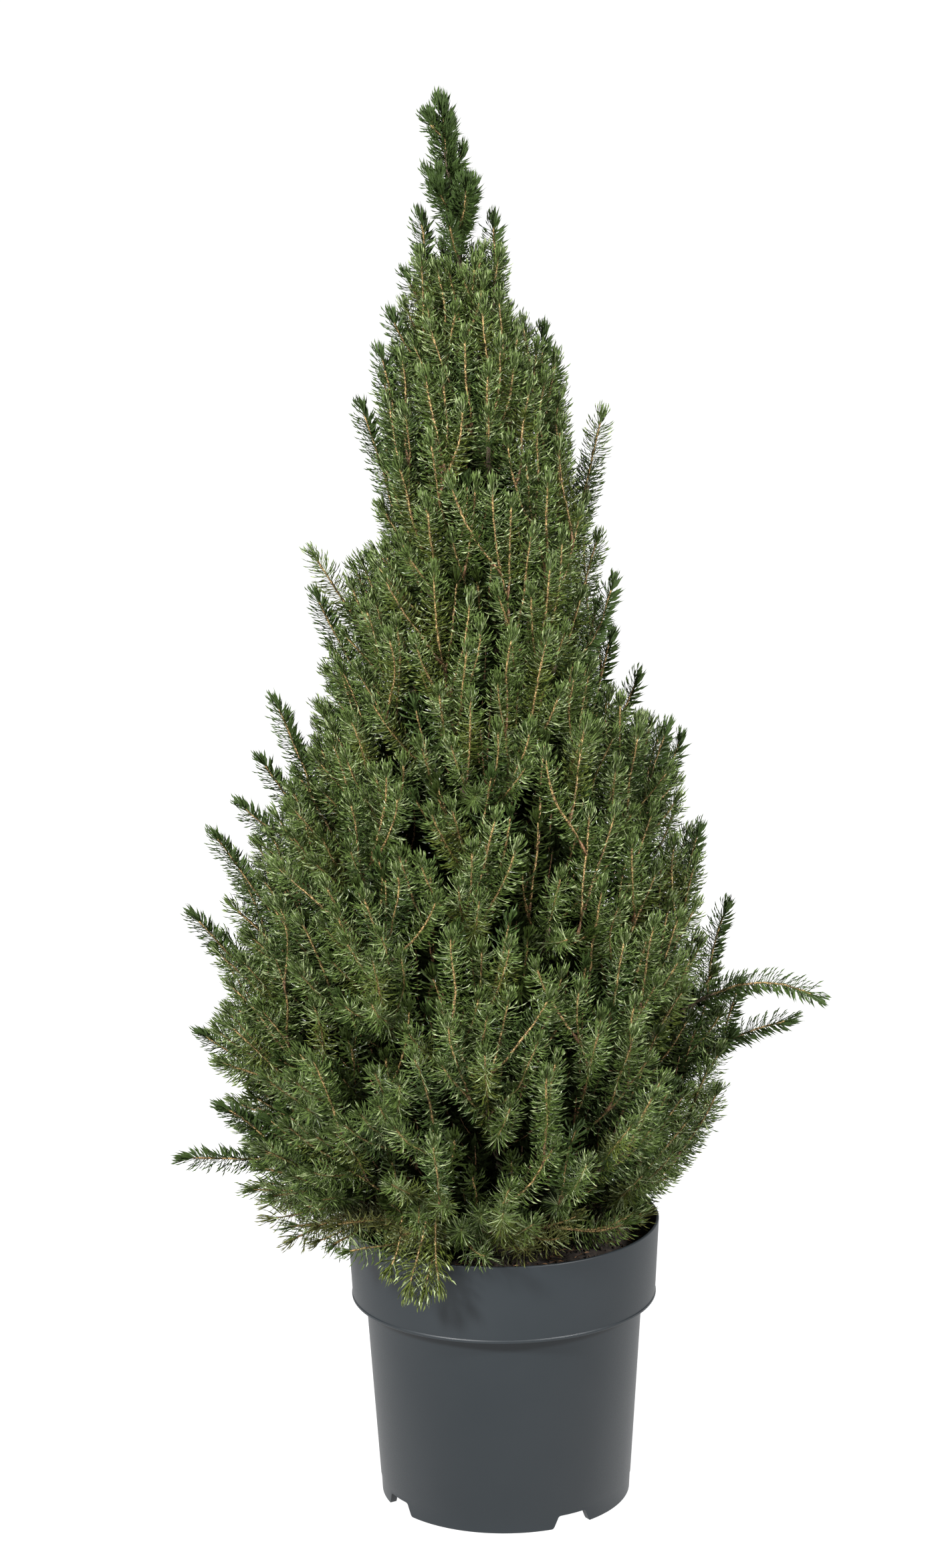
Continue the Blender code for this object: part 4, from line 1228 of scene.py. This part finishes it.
def stem_mesh(line, start, end, radii, form, chance):
    sides, pitch = STEM_TUBES[form]
    count = max(3, round((end - start) / pitch))
    at, _ = along_line(line, np.linspace(start, end, count + 1))
    wide = np.linspace(*radii, count + 1)
    bumps = chance.uniform(-STEM_ROUGHNESS, STEM_ROUGHNESS, (count + 1, sides))
    rough = wide[:, None] * (1.0 + bumps)
    rough[-1] *= STEM_POINT
    return tube(at, rough, sides, STEM_FACING)


def bud_rows(shoot, start, end, chance):
    """Tufts of needles on short side buds of a shoot: roots, ways, outer sides and lengths."""
    count = chance.integers(BUDS[0], BUDS[1] + 1)
    distances = start + (end - start) * chance.uniform(*BUD_PLACES, count)
    at, way = along_line(shoot.line, distances)
    angles = chance.uniform(0.0, math.tau, count)
    bud_way = unit(way + spokes(way, BUD_FACING, angles) * BUD_TILT)
    tips = at + bud_way * chance.uniform(*BUD_LENGTH, count)[:, None]
    along = chance.random((count, BUD_NEEDLES, 1))
    roots = at[:, None] + (tips - at)[:, None] * along
    loose = unit(chance.normal(0.0, 1.0, (count, BUD_NEEDLES, 3)))
    ways = unit(bud_way[:, None] + loose * BUD_SPREAD).reshape(-1, 3)
    lengths = DRESSES[shoot.kind].length * chance.uniform(*BUD_NEEDLE_LENGTHS, len(ways))
    return roots.reshape(-1, 3), ways, square_to(ways, BUD_NEEDLE_FACING), lengths


def dress_shoot(shoot, needles, stems, chance):
    """One shoot: its stem, old wood first, then its needles and the tuft that closes it."""
    line = shoot.line
    whole = line_length(line)
    end = whole - TIP_ROOM
    fronted = shoot.kind in FRONTED
    start = 0.0 if fronted else max(0.0, whole - shoot.needles)
    tint = tint_for(shoot, chance)
    if start > LEAST_OLD_WOOD:
        twig = stem_mesh(line, 0.0, start + STEM_OVERLAP, TWIG_RADII, "twig", chance)
        stems["stems_old"].add(*twig)
    form = "stems_old" if shoot.depth > YOUNG_DEPTH else "stems_young"
    stems[form].add(*stem_mesh(line, start, end, SHOOT_RADII, form, chance))
    dress = DRESSES[shoot.kind]
    *rows, young = needle_rows(line, start, end, dress, chance)
    # some outer needles get the pale tint: partly their real pale undersides, partly painted glints
    pale_and_glint = (chance.random(len(young)) < PALE_AND_GLINT_SHARE) & (shoot.kind in OUTER_KINDS)
    fresh = young & (shoot.kind in FRESH_KINDS) & ~pale_and_glint
    for name, mask in (("pale_and_glint", pale_and_glint), ("fresh", fresh), (tint, ~fresh & ~pale_and_glint)):
        add_needles(needles[name], rows, mask, dress.width, chance, fronted)
    if shoot.kind in BUDDING_KINDS:
        rows = bud_rows(shoot, start, end, chance)
        needles[tint].add(*needle_mesh(*rows, dress.width, chance, fronted))
    if start > NEEDLED_TWIG:
        dress_old_wood(line, start * BARE_TWIG, start, needles, chance)


def add_needles(pile, rows, mask, width, chance, fronted=False):
    if mask.any():
        pile.add(*needle_mesh(*[row[mask] for row in rows], width, chance, fronted))


def dress_old_wood(line, start, end, needles, chance):
    """Wide needles along wood that lies deep enough, darkened with the near-black inner tint as painted
    shade, and usual ones where it lies open.
    """
    for tint, dress in (("inner", OLD_DRESS), ("cool", DRESSES["edge"])):
        *rows, _ = needle_rows(line, start, end, dress._replace(tuft=0), chance)
        buried = [depth_of(Vector(root)) > OLD_DEPTH and root[2] < OLD_TOP for root in rows[0]]
        wanted = np.array(buried, bool) == (tint == "inner")
        add_needles(needles[tint], rows, wanted, dress.width, chance)


def make_foliage(masses, nodes):
    needles = {}
    for tint, colour in NEEDLE_TINTS.items():
        roughness, gloss = DULL if tint == "inner" else SLEEK
        made, _, shader = surface("needles_" + tint, colour, roughness)
        shader.inputs["Specular IOR Level"].default_value = gloss
        needles[tint] = Pile("needles_" + tint, made, "needles", nodes)
    stems = {name: Pile(name, stem_surface(name), "bark", nodes) for name in STEM_COLOURS}
    chance = np.random.default_rng(NEEDLE_SEED)
    for shoot in all_shoots(masses):
        dress_shoot(shoot, needles, stems, chance)
    for mass in masses:
        stem = stretch(mass.line, mass.share, NEEDLED_STEM, NEEDLED_STEM_STEPS)
        dress_old_wood(stem, 0.0, line_length(stem), needles, chance)
    for pile in needles.values():
        pile.make()
    for pile in stems.values():
        pile.make(smooth=True)


# ---------------- pot and soil


def wall_radius(height):
    """The body's outer radius under the collar."""
    share = height / COLLAR_FOOT_HEIGHT
    return BODY_FOOT_RADIUS + (BODY_TOP_RADIUS - BODY_FOOT_RADIUS) * share


def arc(middle, radius, start, end, count=6):
    """Points on a round corner, by angle from +X towards +Z, in degrees."""
    angles = [math.radians(start + (end - start) * k / count) for k in range(count + 1)]
    return [(middle[0] + radius * math.cos(a), middle[1] + radius * math.sin(a)) for a in angles]


LIP = 0.0005  # the small bead along the collar's lower edge
LIP_ROUNDING = 0.0008
CORNER = 0.0032  # from the collar's lower edge up to its inner step
FLOOR_ROUNDING = 0.003
STEP_ROUNDING = 0.002
NECK_ROUNDING = 0.0012  # where the body meets the collar
FOOT_ROUNDING = 0.0009
INNER_FOOT_ROUNDING = 0.0006
MOULD_LINE = 0.0112  # height of the line left where the mould's foot met its body
MOULD_STEP = 0.00022
POT_SEGMENTS = 192
WELD = 0.00002
SHARP_EDGE = math.radians(32.0)
NOTCH_ROUNDING = 0.0022
NOTCH_REACH = 2.2  # foot ring widths that a notch's cutter reaches outwards


def pot_profile():
    """The wall's outline: up the inside from the middle of the floor, then down the outside."""
    floor = BASE_UNDERSIDE + WALL
    edge, low = COLLAR_FOOT_RADIUS, COLLAR_FOOT_HEIGHT
    inner_step = low + WALL * 1.2
    lip = WALL / 2
    neck = wall_radius(low - 0.0002) + NECK_ROUNDING
    foot, ring = BODY_FOOT_RADIUS, BODY_FOOT_RADIUS - FOOT_RING_WIDTH
    corner = (wall_radius(floor) - WALL - FLOOR_ROUNDING, floor + FLOOR_ROUNDING)
    step = (wall_radius(inner_step) - WALL, inner_step + STEP_ROUNDING)
    bead = (edge + LIP - LIP_ROUNDING, low + LIP_ROUNDING)
    inner_foot = (ring + INNER_FOOT_ROUNDING, INNER_FOOT_ROUNDING)
    return [
        (0.0, floor),
        *arc(corner, FLOOR_ROUNDING, -90.0, 0.0, 5),
        *arc(step, STEP_ROUNDING, -60.0, 0.0, 1),
        (edge - WALL - 0.002, low + CORNER),
        (edge - WALL, low + CORNER + 0.003),
        *arc((RIM_RADIUS - lip, POT_HEIGHT - lip), lip, 180.0, 0.0, 10),
        (edge + LIP * 0.2, low + 0.0022),
        (edge + LIP, low + 0.0016),
        *arc(bead, LIP_ROUNDING, 0.0, -90.0, 5),
        (edge - 0.0016, low + 0.0006),
        (neck + 0.0020, low + 0.0010),
        *arc((neck, low - 0.0002), NECK_ROUNDING, 90.0, 180.0, 4),
        (wall_radius(MOULD_LINE) + MOULD_STEP / 2, MOULD_LINE + 0.0003),
        (wall_radius(MOULD_LINE) - MOULD_STEP, MOULD_LINE - 0.0003),
        *arc((foot - FOOT_ROUNDING, FOOT_ROUNDING), FOOT_ROUNDING, 0.0, -90.0, 5),
        *arc(inner_foot, INNER_FOOT_ROUNDING, -90.0, -180.0, 4),
        (ring, BASE_UNDERSIDE),
        (0.0, BASE_UNDERSIDE),
    ]


def placed_shape(name, shape):
    bmesh.ops.recalc_face_normals(shape, faces=shape.faces)
    mesh = bpy.data.meshes.new(name)
    shape.to_mesh(mesh)
    shape.free()
    return placed(name, mesh)


def turned(name, profile):
    """A solid of revolution about +Z from a profile whose two ends lie on the axis."""
    shape = bmesh.new()
    spots = [shape.verts.new((r, 0.0, z)) for r, z in profile]
    edges = [shape.edges.new(pair) for pair in zip(spots, spots[1:])]
    turn = {"cent": (0, 0, 0), "axis": (0, 0, 1), "angle": math.tau, "steps": POT_SEGMENTS}
    bmesh.ops.spin(shape, geom=spots + edges, **turn)
    bmesh.ops.remove_doubles(shape, verts=shape.verts, dist=WELD)
    return placed_shape(name, shape)


def notch_outline():
    """Half a notch's outline, as width and height: flared at the ground, round at its top."""
    foot = (NOTCH_WIDTH + NOTCH_FLARE / 2) / 2
    top = (NOTCH_WIDTH - NOTCH_FLARE / 2) / 2
    below, flared = (foot + 0.0030, -0.004), (foot + 0.0022, -0.0001)
    outline = [below, flared, (foot + 0.0006, 0.0005), (foot - 0.0002, 0.0016)]
    corner = (top - NOTCH_ROUNDING, NOTCH_HEIGHT - NOTCH_ROUNDING)
    return outline + arc(corner, NOTCH_ROUNDING, 8.0, 90.0)


def notch_cutter(index):
    azimuth = NOTCH_FIRST_AZIMUTH + index * math.tau / NOTCH_COUNT
    right = notch_outline()
    outline = right + [(-across, height) for across, height in reversed(right)]
    shape = bmesh.new()
    face = shape.faces.new([shape.verts.new((-FOOT_RING_WIDTH, a, h)) for a, h in outline])
    grown = bmesh.ops.extrude_face_region(shape, geom=[face])["geom"]
    for item in grown:
        if isinstance(item, bmesh.types.BMVert):
            item.co.x += FOOT_RING_WIDTH * NOTCH_REACH
    cutter = placed_shape(f"notch_{index}", shape)
    cutter.location = outward(azimuth) * (BODY_FOOT_RADIUS - FOOT_RING_WIDTH / 2)
    cutter.rotation_euler.z = azimuth
    return cutter


def make_pot():
    pot = turned("pot_body", pot_profile())
    cutters = [notch_cutter(k) for k in range(NOTCH_COUNT)]
    for cutter in cutters:
        cut = pot.modifiers.new("Notch", "BOOLEAN")
        cut.operation = "DIFFERENCE"
        cut.solver = "EXACT"
        cut.object = cutter
    bpy.context.view_layer.update()
    seen = pot.evaluated_get(bpy.context.evaluated_depsgraph_get())
    mesh = bpy.data.meshes.new_from_object(seen)
    pot.modifiers.clear()
    pot.data = mesh
    for cutter in cutters:
        bpy.data.objects.remove(cutter)
    mesh.materials.clear()
    mesh.materials.append(plastic_surface())
    mesh.shade_smooth()
    mesh.set_sharp_from_angle(angle=SHARP_EDGE)
    finish_piece(pot, ["pot"])


SOIL_EDGE = COLLAR_FOOT_RADIUS - WALL - GAP
SOIL_RINGS = 60
SOIL_SIDES = 150
SOIL_DEPTH = 0.012
SOIL_ROUGH = (0.8, 2.0, 4)  # roughness, step from one layer to the next, layers
ROUGH_SCALE = 90.0
LUMP_SCALE = 34.0
SOIL_RELIEF = 0.0016
CRUMBS = 1300
CRUMB_RADII = (0.0006, 0.0021)
CRUMB_SEED = 5
FALLEN = 260
FALLEN_LENGTHS = (0.008, 0.012)
FALLEN_SEED = 31


def soil_height(x, y):
    spot = Vector((x, y, 0.0))
    rough = noise.fractal(spot * ROUGH_SCALE, *SOIL_ROUGH) * SOIL_RELIEF
    lumps = noise.noise(spot * LUMP_SCALE) * SOIL_RELIEF
    return SOIL_TOP + rough + lumps


def soil_mesh():
    """Rings of corners on the compost's rumpled top, then its edge and its flat underside."""
    sides = SOIL_SIDES
    corners = [(0.0, 0.0, soil_height(0.0, 0.0))]
    for ring in range(1, SOIL_RINGS + 1):
        for side in range(sides):
            turn = math.tau * (side + 0.5 * (ring % 2)) / sides
            x = SOIL_EDGE * ring / SOIL_RINGS * math.cos(turn)
            y = SOIL_EDGE * ring / SOIL_RINGS * math.sin(turn)
            corners.append((x, y, soil_height(x, y)))
    triangles = [(0, 1 + side, 1 + (side + 1) % sides) for side in range(sides)]
    for ring in range(1, SOIL_RINGS):
        low = 1 + (ring - 1) * sides
        high = low + sides
        for side in range(sides):
            after = (side + 1) % sides
            if ring % 2:
                triangles.append((low + side, high + side, low + after))
                triangles.append((low + after, high + side, high + after))
            else:
                triangles.append((low + side, high + side, high + after))
                triangles.append((low + side, high + after, low + after))
    last = 1 + (SOIL_RINGS - 1) * sides
    foot = len(corners)
    under = SOIL_TOP - SOIL_DEPTH
    corners += [(x, y, under) for x, y, _ in corners[last:]]
    corners.append((0.0, 0.0, under))
    for side in range(sides):
        after = (side + 1) % sides
        triangles.append((last + side, foot + side, foot + after))
        triangles.append((last + side, foot + after, last + after))
        triangles.append((foot + after, foot + side, foot + sides))
    return np.array(corners), np.array(triangles)


def make_soil():
    """Compost as a rumpled slab with crumbs and fallen needles on it."""
    compost = compost_surface()
    soil = mesh_piece("soil_surface", *soil_mesh(), compost, smooth=True)
    finish_piece(soil, ["soil"])
    crumbs = Pile("soil_crumbs", compost, "compost", ["soil"])
    chance = random.Random(CRUMB_SEED)
    for _ in range(CRUMBS):
        radius = chance.uniform(*CRUMB_RADII) * chance.uniform(0.6, 1.0)
        away = (SOIL_EDGE - 0.003) * math.sqrt(chance.random())
        turn = chance.uniform(0.0, math.tau)
        x, y = away * math.cos(turn), away * math.sin(turn)
        crumbs.add(*crumb_mesh((x, y, soil_height(x, y) + radius * 0.3), radius, chance))
    crumbs.make()
    fallen_needles()


def crumb_mesh(middle, radius, chance):
    """A lump with eight faces, pulled out of true."""
    corners = []
    for way in ((1, 0, 0), (0, 1, 0), (-1, 0, 0), (0, -1, 0), (0, 0, 1), (0, 0, -1)):
        reach = radius * chance.uniform(0.6, 1.3)
        corners.append([m + w * reach + chance.uniform(-0.3, 0.3) * radius for m, w in zip(middle, way)])
    triangles = []
    for k in range(4):
        triangles.append((k, (k + 1) % 4, 4))
        triangles.append(((k + 1) % 4, k, 5))
    return np.array(corners), np.array(triangles)


def fallen_needles():
    """Dead needles that lie on the compost."""
    chance = np.random.default_rng(FALLEN_SEED)
    away = (SOIL_EDGE - 0.008) * np.sqrt(chance.random(FALLEN))
    turns = chance.uniform(0.0, math.tau, FALLEN)
    x, y = away * np.cos(turns), away * np.sin(turns)
    z = np.array([soil_height(a, b) for a, b in zip(x, y)]) + 0.0009
    headings = chance.uniform(0.0, math.tau, FALLEN)
    rises = chance.uniform(-0.05, 0.25, FALLEN)
    ways = unit(np.stack([np.cos(headings), np.sin(headings), rises], 1))
    sides = square_to(ways, np.array(UP))
    lengths = chance.uniform(*FALLEN_LENGTHS, FALLEN)
    dead = Pile("fallen_needles", surface("dead_needles", DEAD_NEEDLE_COLOUR, 0.7)[0], "bark", ["soil"])
    dead.add(*needle_mesh(np.stack([x, y, z], 1), ways, sides, lengths, NEEDLE_WIDTH, chance))
    dead.make()


# ---------------- studio

WHITE = (1.0, 1.0, 1.0, 1.0)
CAMERA_DISTANCE = 2.2
CAMERA_HEIGHT = 0.918
CAMERA_TO_LEFT = 0.0182
CAMERA_PITCH = math.radians(12.15)  # down from level
CAMERA_ROLL = math.radians(0.7)
CAMERA_LENS = 86.8  # millimetres
SENSOR_WIDTH = 36.0


def make_camera():
    data = bpy.data.cameras.new("camera")
    data.lens = CAMERA_LENS
    data.sensor_width = SENSOR_WIDTH
    camera = placed("camera", data)
    turn = Matrix.Rotation(math.pi / 2 - CAMERA_PITCH, 4, "X") @ Matrix.Rotation(-CAMERA_ROLL, 4, "Z")
    place = Matrix.Translation((-CAMERA_TO_LEFT, -CAMERA_DISTANCE, CAMERA_HEIGHT))
    camera.matrix_world = place @ turn
    bpy.context.scene.camera = camera


def area_light(name, place, power):
    """A square lamp that shines on the crown's middle."""
    data = bpy.data.lights.new(name, "AREA")
    data.shape = "RECTANGLE"
    data.size = LAMP_SIZE
    data.size_y = LAMP_SIZE
    data.energy = power
    lamp = placed(name, data)
    lamp.location = place
    lamp.rotation_euler = (Vector(LAMP_TARGET) - Vector(place)).to_track_quat("-Z", "Y").to_euler()


LAMPS = (  # name, place and watts
    ("left", (-1.6, -1.9, 1.9), 170.0),
    ("right", (1.8, -1.7, 1.8), 110.0),
)
LAMP_SIZE = 0.4
LAMP_TARGET = (0.0, 0.0, 0.42)
FLOOR_TINT = 0.12
FLOOR_GLOW = 1.0  # the floor is a lit table, so that the plant's own shade hardly shows on it
FLOOR_REACH = 400.0
OVERHEAD = 0.32  # the room's light straight above
HORIZON = 0.35  # and at the horizon
HORIZON_HEIGHT = (0.02, 0.16)  # sines of the heights between which the one turns to the other


def make_world():
    """A dim room, a little lighter at the horizon than overhead."""
    world = bpy.data.worlds.new("studio")
    bpy.context.scene.world = world
    world.use_nodes = True
    tree = world.node_tree
    background = tree.nodes["Background"]
    background.inputs["Color"].default_value = WHITE
    place = tree.nodes.new("ShaderNodeTexCoord")
    parts = tree.nodes.new("ShaderNodeSeparateXYZ")
    share = tree.nodes.new("ShaderNodeMapRange")
    share.inputs["From Min"].default_value = HORIZON_HEIGHT[0]
    share.inputs["From Max"].default_value = HORIZON_HEIGHT[1]
    share.inputs["To Min"].default_value = HORIZON
    share.inputs["To Max"].default_value = OVERHEAD
    tree.links.new(place.outputs["Generated"], parts.inputs["Vector"])
    tree.links.new(parts.outputs["Z"], share.inputs["Value"])
    tree.links.new(share.outputs["Result"], background.inputs["Strength"])


def make_studio():
    mesh = bpy.data.meshes.new("floor")
    corners = [(x * FLOOR_REACH, y * FLOOR_REACH, 0) for x, y in ((-1, -1), (1, -1), (1, 1), (-1, 1))]
    mesh.from_pydata(corners, [], [(0, 1, 2, 3)])
    made, _, shader = surface("floor_white", (FLOOR_TINT, FLOOR_TINT, FLOOR_TINT), 0.9)
    shader.inputs["Emission Color"].default_value = WHITE
    shader.inputs["Emission Strength"].default_value = FLOOR_GLOW
    mesh.materials.append(made)
    floor = placed("floor", mesh)
    make_world()
    for lamp in LAMPS:
        area_light(*lamp)
    bpy.context.scene.view_settings.view_transform = "Standard"


# ---------------- the whole plant


def main():
    noise.seed_set(NOISE_SEED)
    masses = grow()
    names = sorted(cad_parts)
    foliage = [name for name in names if name.startswith("foliage_")]
    limbs = [name for name in names if name.startswith("bough_")] + ["trunk"]
    make_wood(masses, limbs)
    make_foliage(masses, foliage)
    make_pot()
    make_soil()
    make_studio()
    make_camera()


main()
